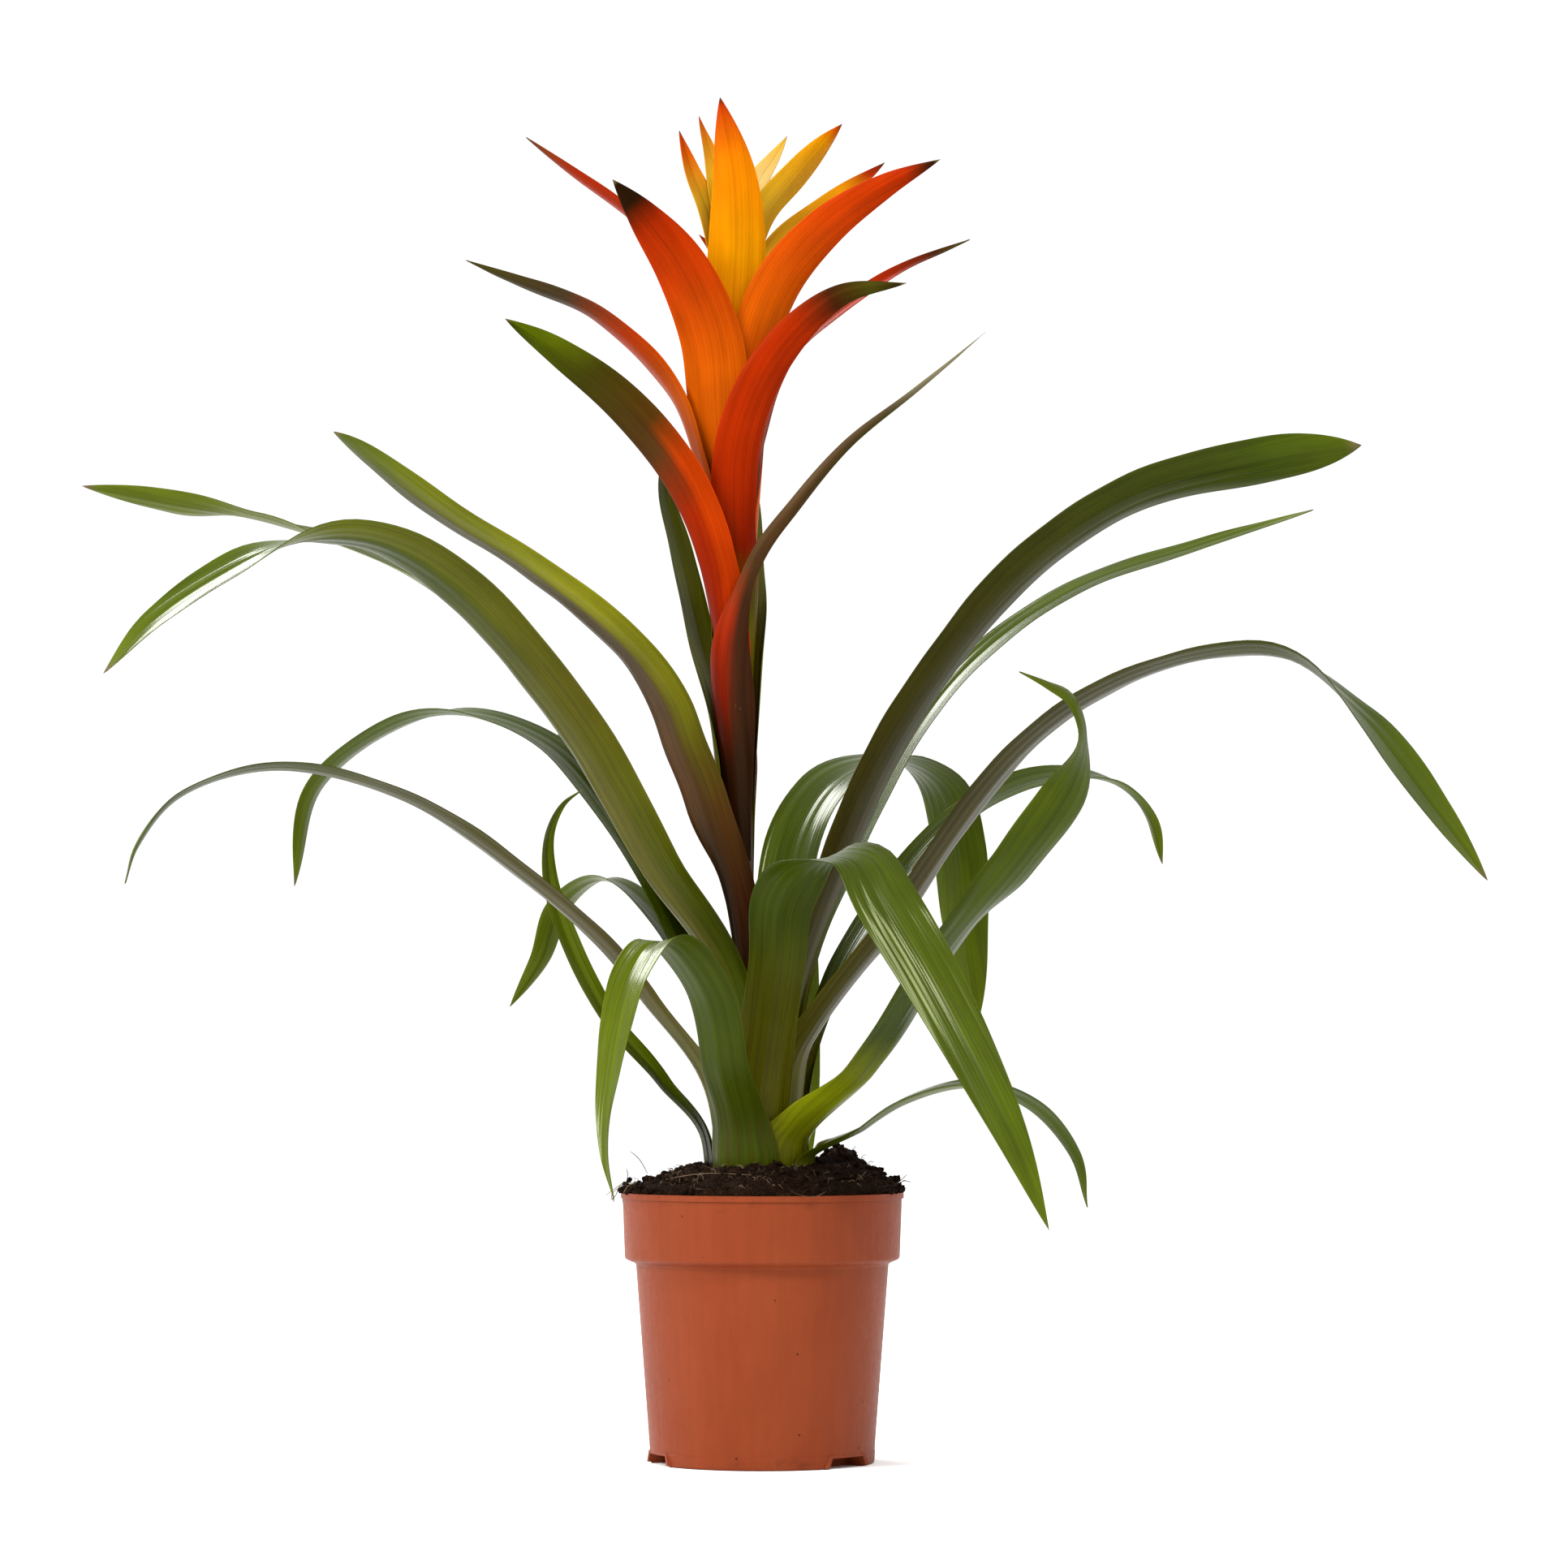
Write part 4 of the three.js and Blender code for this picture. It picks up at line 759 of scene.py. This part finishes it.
def pot_outer():
    """Outline of the pot's outer skin, from the middle of the base to the lip."""
    slope = (POT.body_top_radius - POT.foot_radius) / (POT.body_top - POT.foot_edge)
    ridge = POT.ridge_height
    ridge_radius = POT.foot_radius + slope * (ridge - POT.foot_edge)
    lip_bottom = POT.height - POT.lip_height
    outline = [
        (0, 0),
        (POT.foot_radius, 0),
        (ridge_radius, ridge),
        (ridge_radius - POT.ridge_depth, ridge + POT.ridge_depth),
        (POT.body_top_radius, POT.body_top),
        (POT.band_bottom_radius, POT.band_bottom),
        (POT.band_top_radius, lip_bottom),
        (POT.lip_radius, lip_bottom),
        (POT.lip_radius, POT.height),
    ]
    corners = {1: POT.foot_edge, 4: FINE.shoulder_round, 5: FINE.band_round, 7: FINE.lip_round}
    return rounded(outline, corners)


def pot_inner(clearance):
    """Outline of the inside of the pot, from the rim to the middle of the floor."""
    inset = POT.wall + clearance
    return [
        (POT.band_top_radius - inset, POT.height),
        (POT.band_bottom_radius - inset, POT.band_bottom + inset + POT.band_edge),
        (POT.body_top_radius - inset, POT.body_top + inset - POT.band_edge / 2),
        (POT.foot_radius - inset, inset),
        (0, inset),
    ]


def bar(outline, start, end, angle):
    """A bar with an upright outline of (x, z) points, pointing outwards at an angle, for cuts."""
    turn = math.radians(angle)
    out = np.array([math.cos(turn), math.sin(turn), 0])
    side = np.array([-math.sin(turn), math.cos(turn), 0])
    points = [out * reach + side * x + np.array([0, 0, z]) for reach in (start, end) for x, z in outline]
    count = len(outline)
    faces = [tuple(range(count))[::-1], tuple(range(count, 2 * count))]
    for k in range(count):
        following = (k + 1) % count
        faces.append((k, following, count + following, count + k))
    mesh = bpy.data.meshes.new("bar")
    mesh.from_pydata(np.array(points) * MM, [], faces)
    outward = bmesh.new()
    outward.from_mesh(mesh)
    bmesh.ops.recalc_face_normals(outward, faces=outward.faces)
    outward.to_mesh(mesh)
    outward.free()
    return put("bar", mesh)


def tapered(foot, top, low, high):
    """Upright outline that is one width at the foot and another at the top."""
    return [(-foot / 2, low), (foot / 2, low), (top / 2, high), (-top / 2, high)]


def recess_outline(margin, low=-POT.wall):
    """Outline of a recess in the pot's base, grown by a margin at its sides and top."""
    foot = RECESS.width_at_foot + 2 * margin
    return tapered(foot, RECESS.width_at_top + 2 * margin, low, RECESS.height + margin)


def carve(piece, tools):
    """Joins the tools to the piece or cuts them out of it, one by one, and removes them."""
    for operation, tool in tools:
        step = piece.modifiers.new("carve", "BOOLEAN")
        step.operation = operation
        step.solver = "EXACT"
        step.object = tool
        depsgraph = bpy.context.evaluated_depsgraph_get()
        carved = bpy.data.meshes.new_from_object(piece.evaluated_get(depsgraph), depsgraph=depsgraph)
        piece.modifiers.clear()
        piece.data = carved
        bpy.data.objects.remove(tool)


def make_pot(material):
    """The pot as one thin turned body, with three recesses and their drains in its base."""
    outline = [*pot_outer(), *pot_inner(0)]
    rings = [round_points(radius, height, FINE.pot_sides) for radius, height in outline[1:-1]]
    piece = add_mesh("nursery_pot", *ring_body(rings, (0, 0, 0), (0, 0, outline[-1][1])), material)
    wall = POT.wall
    inner = RECESS.inner_radius
    drain = inner + RECESS.drain_inset
    half = RECESS.drain_length / 2
    width = RECESS.drain_width
    tools = []
    for angle in RECESS.angles:
        pocket = recess_outline(wall, wall / 2)
        tools.append(("UNION", bar(pocket, inner - wall, POT.foot_radius - wall / 2, angle)))
    for angle in RECESS.angles:
        slit = tapered(width, width, -wall, 3 * RECESS.height)
        tools.append(("DIFFERENCE", bar(recess_outline(0), inner, POT.lip_radius, angle)))
        tools.append(("DIFFERENCE", bar(slit, drain - half, drain + half, angle)))
    carve(piece, tools)
    piece.data.shade_smooth()
    piece.data.set_sharp_from_angle(angle=math.radians(FINE.sharp_angle))
    place(piece, "pot", "pot")


# Soil

def peat_rise(x, y):
    """Uneven top of the peat: crossing waves of two lengths, the mound and the dip."""
    coarse = np.sin(x * 0.21 + 1.3) * np.sin(y * 0.19 - 0.4)
    fine = np.sin(x * 0.47 - y * 0.31) * np.cos(y * 0.43 + x * 0.17 + 0.8)
    rise = PEAT.wave_height * (coarse + PEAT.fine_share * fine)
    for mid_x, mid_y, height, length, depth in PEAT.mounds:
        rise = rise + height * np.exp(-(((x - mid_x) / length) ** 2) - ((y - mid_y) / depth) ** 2)
    return rise


def peat_height(x, y):
    """Height of the top of the peat at a place, without its grain."""
    return look_up(PEAT_HEAP, np.hypot(x, y)) + peat_rise(x, y)


def relief(x, y, size, height, roughness, growth, octaves):
    return height * noise.fractal(Vector((x, y, 0)) / size, roughness, growth, octaves)


def grain(x, y):
    """Crumbly relief of the peat: clods, and grains on them."""
    return relief(x, y, *PEAT.clod) + relief(x + 50, y, *PEAT.grain)


def peat_top(x, y):
    return peat_height(x, y) + grain(x, y)


def plant_foot_radius(angle):
    """How far the sheaths reach from the axis at an angle, at the soil."""
    reach = STEM.stock_radius
    for leaf in ROSETTE_LEAVES:
        nest = rosette_nest(leaf)
        radius = nest.radius(SOIL.crown_height)
        half = min(math.radians(nest.wrap), nest.widest / 2 / radius)
        away = abs((angle - math.radians(leaf["azimuth"]) + math.pi) % TURN - math.pi)
        if away < half:
            reach = max(reach, radius)
    return reach


def hole_radii(sides):
    """Edge of the soil round the plant, drawn in between its sheaths."""
    reach = np.array([plant_foot_radius(k / sides * TURN) for k in range(sides)])
    shifts = range(-FINE.hole_softness, FINE.hole_softness + 1)
    widened = np.max([np.roll(reach, shift) for shift in shifts], axis=0)
    softened = np.mean([np.roll(widened, shift) for shift in shifts], axis=0)
    return np.maximum(softened, widened - SOIL.hole_sag) + SOIL.hole_clearance


def peat_ring(radii):
    """One ring of the top of the peat, less crumbly where it meets the pot."""
    ring = round_points(radii, 0, len(radii))
    for point, radius in zip(ring, radii):
        x, y = point[:2]
        fade = min(1, (PEAT_EDGE - radius) / 2 + 0.25)
        point[2] = max(peat_height(x, y) + fade * grain(x, y), SOIL.lowest)
    return ring


def make_soil(material):
    """The peat as one closed body: a crumbly heap on top, plain where the pot hides it."""
    sides = FINE.soil_sides
    *walls, floor = pot_inner(GAP)
    hole = hole_radii(sides)
    stock = STEM.stock_radius + GAP
    bottom = STEM.bottom - GAP
    rings = [round_points(radius, height, sides) for radius, height in reversed(walls[1:])]
    rings.append(round_points(PEAT_EDGE, POT.height - 2, sides))
    for share in np.linspace(0, 1, FINE.soil_rings + 1):
        rings.append(peat_ring(blend(PEAT_EDGE, hole, share)))
    rings.append(round_points(hole - FINE.hole_draft, SOIL.hole_floor, sides))
    rings.append(round_points(stock, SOIL.hole_floor, sides))
    rings.append(round_points(stock, bottom, sides))
    piece = add_mesh("peat", *ring_body(rings, (0, 0, floor[1]), (0, 0, bottom)), material)
    margin = POT.wall + GAP
    start = RECESS.inner_radius - margin
    room = recess_outline(margin)
    carve(piece, [("DIFFERENCE", bar(room, start, POT.lip_radius, angle)) for angle in RECESS.angles])
    place(piece, "peat", "soil")


# Crumbs and threads

@functools.cache
def ball():
    """Points and faces of a unit ball with 42 corners."""
    made = bmesh.new()
    bmesh.ops.create_icosphere(made, subdivisions=2, radius=1)
    points = np.array([corner.co for corner in made.verts])
    faces = [tuple(corner.index for corner in face.verts) for face in made.faces]
    made.free()
    return points, faces


def lump(rng, centre, size):
    """An irregular crumb round a centre: a ball of few faces, squashed and dented."""
    points, faces = ball()
    stretch = np.array([rng.uniform(*CRUMBS.stretch) for _ in range(3)])
    turn = Vector([rng.uniform(-1, 1) for _ in range(3)]).normalized()
    shift = Vector((rng.uniform(0, CRUMBS.shift), 0, 0))
    bumps = np.array([noise.noise(Vector(point) * CRUMBS.dents_across + shift) for point in points])
    local = points * (1 + CRUMBS.dent * bumps)[:, None] * stretch
    matrix = np.array(turn.to_track_quat("Z", "Y").to_matrix())
    return local @ matrix.T * size + np.array(centre), faces


def thread(path, thickness, sides):
    """A thin tube along a path, with pointed ends."""
    line = catmull_rom(np.array(path, float))[:: FINE.curve_steps // THREADS.spans]
    points = []
    side = None
    for index, (centre, tangent) in enumerate(zip(line, np.gradient(line, axis=0))):
        direction = Vector(tangent).normalized()
        side = side - direction * side.dot(direction) if side else direction.orthogonal()
        side.normalize()
        other = direction.cross(side)
        share = index / (len(line) - 1)
        radius = thickness * (0.15 + 0.85 * math.sqrt(max(0, 1 - (2 * share - 1) ** 4)))
        for k in range(sides):
            turn = k / sides * TURN
            outward = side * math.cos(turn) + other * math.sin(turn)
            points.append(centre + np.array(outward) * radius)
    count = len(points)
    faces = [tuple(range(sides))[::-1], tuple(range(count - sides, count))]
    for start in range(0, count - sides, sides):
        for k in range(start, start + sides):
            following = start + (k + 1 - start) % sides
            faces.append((k, following, following + sides, k + sides))
    return np.array(points), faces


def place_joined(name, parts, material):
    """Many small bodies as one piece that belongs to the soil."""
    points = []
    faces = []
    start = 0
    for part_points, part_faces in parts:
        points.append(part_points)
        faces.extend(tuple(index + start for index in face) for face in part_faces)
        start += len(part_points)
    place(add_mesh(name, np.vstack(points), faces, material), "peat", "soil")


def scattered(rng, layout):
    """Places drawn evenly from a ring on the peat, clear of the sheaths: radius, x and y."""
    inner, outer = layout.ring
    for _ in range(layout.count):
        angle = rng.uniform(0, TURN)
        radius = math.sqrt(rng.uniform(inner**2, outer**2))
        if radius >= plant_foot_radius(angle) + layout.clear:
            yield radius, radius * math.cos(angle), radius * math.sin(angle)


def make_crumbs(material):
    """Loose crumbs on the peat, and some on the rim."""
    rng = random.Random(CRUMBS.seed)
    parts = []
    for _, x, y in scattered(rng, CRUMBS):
        size = rng.choice(CRUMBS.sizes)
        parts.append(lump(rng, (x, y, peat_top(x, y) + CRUMBS.lift * size), size))
    for middle, half, share in SPILLS:
        for _ in range(int(CRUMBS.rim_count * share)):
            angle = math.radians(rng.gauss(middle, half / 2))
            radius = rng.uniform(*CRUMBS.rim_ring)
            size = rng.choice(CRUMBS.rim_sizes)
            pile = max(0, rng.gauss(CRUMBS.pile, CRUMBS.pile_spread))
            pile *= (CRUMBS.pile_foot - radius) / CRUMBS.pile_width
            height = POT.height + size * CRUMBS.rim_lift + pile
            parts.append(lump(rng, (radius * math.cos(angle), radius * math.sin(angle), height), size))
    place_joined("peat_crumbs", parts, material)


def make_threads(material):
    """Root threads and peat fibres: the long ones listed, the short ones scattered."""
    rng = random.Random(THREADS.seed)
    parts = [thread(path, THREADS.long_thickness, THREADS.long_sides) for path in LONG_THREADS]
    for radius, x, y in scattered(rng, THREADS):
        lowest = POT.height + THREADS.sunk if radius > THREADS.on_rim else 0
        foot = Vector((x, y, max(peat_top(x, y), lowest)))
        length = rng.uniform(*THREADS.length)
        heading = rng.uniform(0, TURN)
        step = Vector((math.cos(heading), math.sin(heading), rng.uniform(*THREADS.rise)))
        step = step.normalized() * length / 2
        bow = Vector((rng.uniform(-1, 1), rng.uniform(-1, 1), rng.uniform(0, 1))) * THREADS.bow * length
        path = (foot - Vector((0, 0, THREADS.sunk)), foot + step + bow, foot + step * 2)
        parts.append(thread(path, rng.uniform(*THREADS.thickness), THREADS.sides))
    place_joined("root_threads", parts, material)


# Materials

class Nodes:
    """Short calls that add nodes to one material and link them."""

    def __init__(self, name):
        self.material = bpy.data.materials.new(name)
        self.material.use_nodes = True
        self.tree = self.material.node_tree
        self.shader = self.tree.nodes["Principled BSDF"]

    def add(self, kind, inputs=None, **settings):
        node = self.tree.nodes.new(kind)
        for key, value in settings.items():
            setattr(node, key, value)
        self.fill(node, inputs or {})
        return node

    def fill(self, node, inputs):
        for key, value in inputs.items():
            if isinstance(value, bpy.types.NodeSocket):
                self.tree.links.new(value, node.inputs[key])
            else:
                node.inputs[key].default_value = value

    def finish(self, **inputs):
        """The material, with inputs of its shader given by their names with underscores."""
        self.fill(self.shader, {key.replace("_", " "): value for key, value in inputs.items()})
        return self.material

    def attribute(self, name, output="Fac"):
        return self.add("ShaderNodeAttribute", attribute_name=name).outputs[output]

    def at(self):
        """Place on the object in millimetres."""
        return self.stretched(self.add("ShaderNodeTexCoord").outputs["Object"], (1 / MM, 1 / MM, 1 / MM))

    def part(self, vector, axis):
        return self.add("ShaderNodeSeparateXYZ", {"Vector": vector}).outputs[axis]

    def math(self, operation, *values):
        return self.add("ShaderNodeMath", dict(enumerate(values)), operation=operation).outputs[0]

    def times(self, first, second):
        return self.math("MULTIPLY", first, second)

    def ramp(self, value, low, high, to_low=0.0, to_high=1.0):
        """Smooth change from one number to another while the value goes from low to high."""
        inputs = {"Value": value, "From Min": low, "From Max": high, "To Min": to_low, "To Max": to_high}
        return self.add("ShaderNodeMapRange", inputs, interpolation_type="SMOOTHSTEP").outputs["Result"]

    def vary(self, pattern, low, high):
        """A number that follows noise between two bounds, which its middle values fill."""
        return self.ramp(pattern, 0.3, 0.7, low, high)

    def stretched(self, vector, scale):
        return self.add("ShaderNodeMapping", {"Vector": vector, "Scale": scale}).outputs["Vector"]

    def noise(self, vector, x, y, z, detail=3, roughness=0.5):
        """Noise with its own density along each axis."""
        inputs = {"Vector": self.stretched(vector, (x, y, z)), "Scale": 1.0, "Detail": detail}
        return self.add("ShaderNodeTexNoise", {**inputs, "Roughness": roughness}).outputs["Fac"]

    def spots(self, vector, scale, size, share):
        """Round spots in a share of the cells of a pattern: 1 inside them, 0 outside."""
        cells = self.add("ShaderNodeTexVoronoi", {"Vector": vector, "Scale": scale})
        inside = self.ramp(cells.outputs["Distance"], size * 0.6, size, 1.0, 0.0)
        picked = self.add("ShaderNodeSeparateColor", {"Color": cells.outputs["Color"]}).outputs[0]
        return self.times(inside, self.math("LESS_THAN", picked, share))

    def mix(self, share, first, second):
        """The first colour turning into the second one; either can be the name of a tone."""
        first, second = (rgba(colour) if isinstance(colour, str) else colour for colour in (first, second))
        return self.add("ShaderNodeMix", {0: share, 6: first, 7: second}, data_type="RGBA").outputs[2]

    def brighter(self, colour, factor):
        """The colour with its brightness multiplied by a number that varies over the surface."""
        return self.add("ShaderNodeHueSaturation", {"Color": colour, "Value": factor}).outputs["Color"]

    def bump(self, height, distance, before=None):
        inputs = {"Height": height, "Distance": distance}
        if before:
            inputs["Normal"] = before
        return self.add("ShaderNodeBump", inputs).outputs["Normal"]


def rgba(name):
    return (*tone(name), 1.0)


LEAF_SHEEN = (0.95, 1.0, 0.6, 1.0)
BRACT_SHEEN = (1.0, 0.5, 0.15, 1.0)

# Skins of leaves and bracts. Stripe is the tone of the stripes, which end at a share of the length,
# gloss the roughness of the top and of the underside, shine how strongly each mirrors, sheen the
# tint of what they mirror, and specks the share of cells on a sheath that have a pale speck.
SKINS = dict(
    rosette_leaf=dict(
        stripe="earth_brown", stripes_to=0.3, streaks=0.13, gloss=(0.22, 0.38), shine=(0.18, 0.1),
        sheen=LEAF_SHEEN,
    ),
    stalk_leaf=dict(
        stripe="maroon", stripes_to=0.5, streaks=0.13, gloss=(0.28, 0.4), shine=(0.14, 0.1),
        sheen=LEAF_SHEEN, specks=0.12,
    ),
    red_bract=dict(
        stripe="deep_red", stripes_to=0.4, streaks=0.08, gloss=(0.4, 0.42), shine=(0.06, 0.08),
        sheen=BRACT_SHEEN,
    ),
    yellow_bract=dict(
        stripe="orange", stripes_to=0.5, streaks=0.05, gloss=(0.45, 0.45), shine=(0.05, 0.06),
        sheen=BRACT_SHEEN,
    ),
)
VEIN_SPACING = 1.5


def blade_material(name, skin):
    """Skin of a leaf or bract: tones along it, veins, lengthwise streaks, stripes near its base."""
    n = Nodes(name + "_skin")
    colour = n.attribute("tone", "Vector")
    at = n.attribute("leaf_place", "Vector")
    across = n.part(at, "X")
    share = n.attribute("share")
    upper = n.attribute("upper")
    broad = n.noise(at, 0.32, 0.011, 1)
    thin = n.noise(at, 0.9, 0.012, 1, detail=2)
    mottle = n.noise(at, 0.1, 0.04, 1, detail=2)
    veins = n.math("SINE", n.times(across, TURN / VEIN_SPACING))

    # Lengthwise streaks, lighter and darker than the tone
    light = n.vary(broad, 1 - skin["streaks"], 1 + skin["streaks"])
    light = n.times(light, n.vary(thin, 1 - skin["streaks"] * 0.7, 1 + skin["streaks"] * 0.7))
    light = n.times(light, n.vary(mottle, 0.92, 1.08))
    light = n.times(light, n.ramp(veins, -1, 1, 0.975, 1.025))
    colour = n.brighter(colour, light)

    # Stripes of another tone, strong at the base
    fading = n.ramp(share, 0.0, skin["stripes_to"], 0.45, 0.0)
    lines = n.ramp(n.noise(at, 1.1, 0.02, 1, roughness=0.7), 0.46, 0.62)
    colour = n.mix(n.times(fading, lines), colour, skin["stripe"])

    # The keel is a darker line, and the margins are pale and thin
    colour = n.brighter(colour, n.ramp(n.math("ABSOLUTE", across), 0.0, 0.9, 0.86, 1.0))
    margin = n.times(n.ramp(n.attribute("edge"), 0.95, 1.0), 0.35)
    colour = n.mix(margin, colour, n.brighter(colour, 1.9))

    # The very tip is dry
    dry = n.times(n.ramp(share, 0.982, 0.998), n.ramp(mottle, 0.3, 0.55, 0.4, 1.0))
    colour = n.mix(dry, colour, "dry_straw")

    # Scales: tiny pale specks
    if "specks" in skin:
        dots = n.spots(n.stretched(at, (0.55, 0.3, 1)), 1.0, 0.16, skin["specks"])
        dots = n.times(dots, n.attribute("sheath"))
        colour = n.mix(n.times(dots, 0.7), colour, "dry_straw")

    top_gloss, under_gloss = skin["gloss"]
    top_shine, under_shine = skin["shine"]
    roughness = n.math("ADD", n.ramp(upper, 0.0, 1.0, under_gloss, top_gloss), n.vary(broad, -0.04, 0.06))
    ridges = n.noise(at, 0.3, 0.005, 1, detail=0)
    return n.finish(
        Base_Color=colour, Roughness=roughness, IOR=1.45, Specular_Tint=skin["sheen"],
        Normal=n.bump(ridges, 0.0007, before=n.bump(veins, 0.000015)),
        Specular_IOR_Level=n.ramp(upper, 0.0, 1.0, under_shine, top_shine),
    )


def plastic_material():
    """Matt terracotta plastic with faint flow marks, specks of dirt and tiny pale specks."""
    n = Nodes("terracotta_plastic")
    at = n.at()
    height = n.part(at, "Z")
    cloud = n.noise(at, 0.02, 0.02, 0.012, detail=4, roughness=0.6)
    flow = n.noise(at, 0.25, 0.25, 0.02, roughness=0.6)
    colour = n.mix(n.ramp(cloud, 0.35, 0.65), "clay", "light_clay")
    colour = n.brighter(colour, n.vary(flow, 0.965, 1.035))

    # Painted shade in patches: the clay turns darker under the lip, where the lip shades the band, and at
    # the foot
    shade_patches = n.noise(at, 0.12, 0.12, 0.2, detail=5, roughness=0.65)
    shade_under_lip = n.ramp(height, 103, 111, 0.0, 0.3)
    shade_at_foot = n.ramp(height, 0, 9, 0.42, 0.0)
    painted_shade = n.times(n.math("ADD", shade_under_lip, shade_at_foot), n.ramp(shade_patches, 0.5, 0.72))
    colour = n.mix(painted_shade, colour, "clay_shadow")

    dots = (
        # Pattern, strength and tone
        (n.spots(at, 0.075, 0.055, 0.5), 0.8, "peat_dark"),
        (n.spots(at, 0.17, 0.05, 0.22), 0.6, "peat_brown"),
        (n.spots(n.stretched(at, (1, 1.1, 0.9)), 0.12, 0.04, 0.3), 0.6, "dry_straw"),
    )
    for pattern, strength, dirt in dots:
        colour = n.mix(n.times(pattern, strength), colour, dirt)

    rough = n.noise(at, 0.5, 0.5, 0.5, detail=5, roughness=0.7)
    relief = n.bump(n.noise(at, 2.2, 2.2, 2.2), 0.00006)
    return n.finish(
        Base_Color=colour, Roughness=n.vary(rough, 0.46, 0.56),
        Normal=n.bump(cloud, 0.0012, before=relief),
        Specular_IOR_Level=0.14, Specular_Tint=(1.0, 0.7, 0.5, 1.0),
    )


def peat_material():
    """Dark fibrous peat: nearly black clods with brown fibre between them."""
    n = Nodes("peat_fibre")
    at = n.at()
    coarse = n.noise(at, 0.22, 0.22, 0.22, detail=4, roughness=0.6)
    fine = n.noise(at, 1.1, 1.1, 1.1, detail=6, roughness=0.75)
    fibre = n.noise(at, 0.35, 1.9, 0.6, detail=4, roughness=0.7)
    colour = n.mix(n.ramp(fine, 0.35, 0.7), "peat_dark", "peat_brown")
    colour = n.mix(n.times(n.ramp(fibre, 0.55, 0.68), 0.55), colour, "peat_fibre")
    return n.finish(
        Base_Color=n.brighter(colour, n.vary(coarse, 0.55, 1.3)), Roughness=n.vary(fine, 0.98, 0.85),
        Normal=n.bump(fibre, 0.0006, before=n.bump(fine, 0.0009)), Specular_IOR_Level=0.04,
    )


def thread_material():
    """Dry root threads, from straw to dark brown."""
    n = Nodes("root_thread")
    at = n.at()
    patch = n.noise(at, 0.09, 0.09, 0.09)
    fine = n.noise(at, 1.6, 1.6, 1.6)
    colour = n.mix(n.ramp(patch, 0.42, 0.62), "peat_brown", "root_straw")
    return n.finish(
        Base_Color=n.brighter(colour, n.vary(fine, 0.7, 1.25)), Roughness=n.vary(fine, 0.75, 0.9),
        Normal=n.bump(fine, 0.0001), Specular_IOR_Level=0.3,
    )


def stem_material():
    """The stock and the flower stalk: olive at the foot, then maroon, and amber at the top."""
    n = Nodes("stalk_skin")
    at = n.at()
    height = n.part(at, "Z")
    streak = n.noise(at, 0.8, 0.8, 0.03, detail=4)
    colour = n.mix(n.ramp(height, 150, 240), "olive", "maroon")
    colour = n.mix(n.ramp(height, 400, 480), colour, "amber")
    return n.finish(
        Base_Color=n.brighter(colour, n.vary(streak, 0.75, 1.25)), Roughness=n.vary(streak, 0.45, 0.6),
        Normal=n.bump(streak, 0.0003),
    )


def floor_material():
    """A nearly white floor."""
    n = Nodes("pale_floor")
    cloud = n.noise(n.at(), 0.004, 0.004, 0.004)
    colour = n.mix(n.vary(cloud, 0.0, 1.0), (0.93, 0.93, 0.93, 1), (0.95, 0.95, 0.95, 1))
    return n.finish(Base_Color=colour, Roughness=n.vary(cloud, 0.88, 0.95), Specular_IOR_Level=0.1)


# Studio

def aimed(thing, spot, aim):
    """Puts a light or camera at a spot and turns it towards another."""
    thing.location = spot
    thing.rotation_euler = (aim - spot).to_track_quat("-Z", "Y").to_euler()


def make_studio():
    """White surroundings, a pale floor, three soft lights and the camera."""
    scene = bpy.context.scene
    mesh = bpy.data.meshes.new("floor")
    corners = [(x * FLOOR_REACH, y * FLOOR_REACH, 0) for x, y in ((-1, -1), (1, -1), (1, 1), (-1, 1))]
    mesh.from_pydata(corners, [], [(0, 1, 2, 3)])
    mesh.materials.append(floor_material())
    floor = put("floor", mesh)

    scene.world = bpy.data.worlds.new("studio")
    scene.world.use_nodes = True
    background = scene.world.node_tree.nodes["Background"]
    background.inputs["Color"].default_value = (1, 1, 1, 1)
    background.inputs["Strength"].default_value = WORLD_LIGHT

    for name, spot, side, watts in LIGHTS:
        light = bpy.data.lights.new(name, "AREA")
        light.size = side
        light.energy = watts
        aimed(put(name, light), Vector(spot), Vector(LIGHT_AIM))

    data = bpy.data.cameras.new("camera")
    data.lens = CAMERA.lens
    data.sensor_width = CAMERA.sensor
    data.clip_end = CAMERA.reach
    scene.camera = put("camera", data)
    aimed(scene.camera, Vector(CAMERA.place) * MM, Vector(CAMERA.aim) * MM)
    scene.view_settings.view_transform = "Standard"


make_studio()
make_leaves({name: blade_material(name, skin) for name, skin in SKINS.items()})
make_stem(stem_material())
make_pot(plastic_material())
peat = peat_material()
make_soil(peat)
make_crumbs(peat)
make_threads(thread_material())
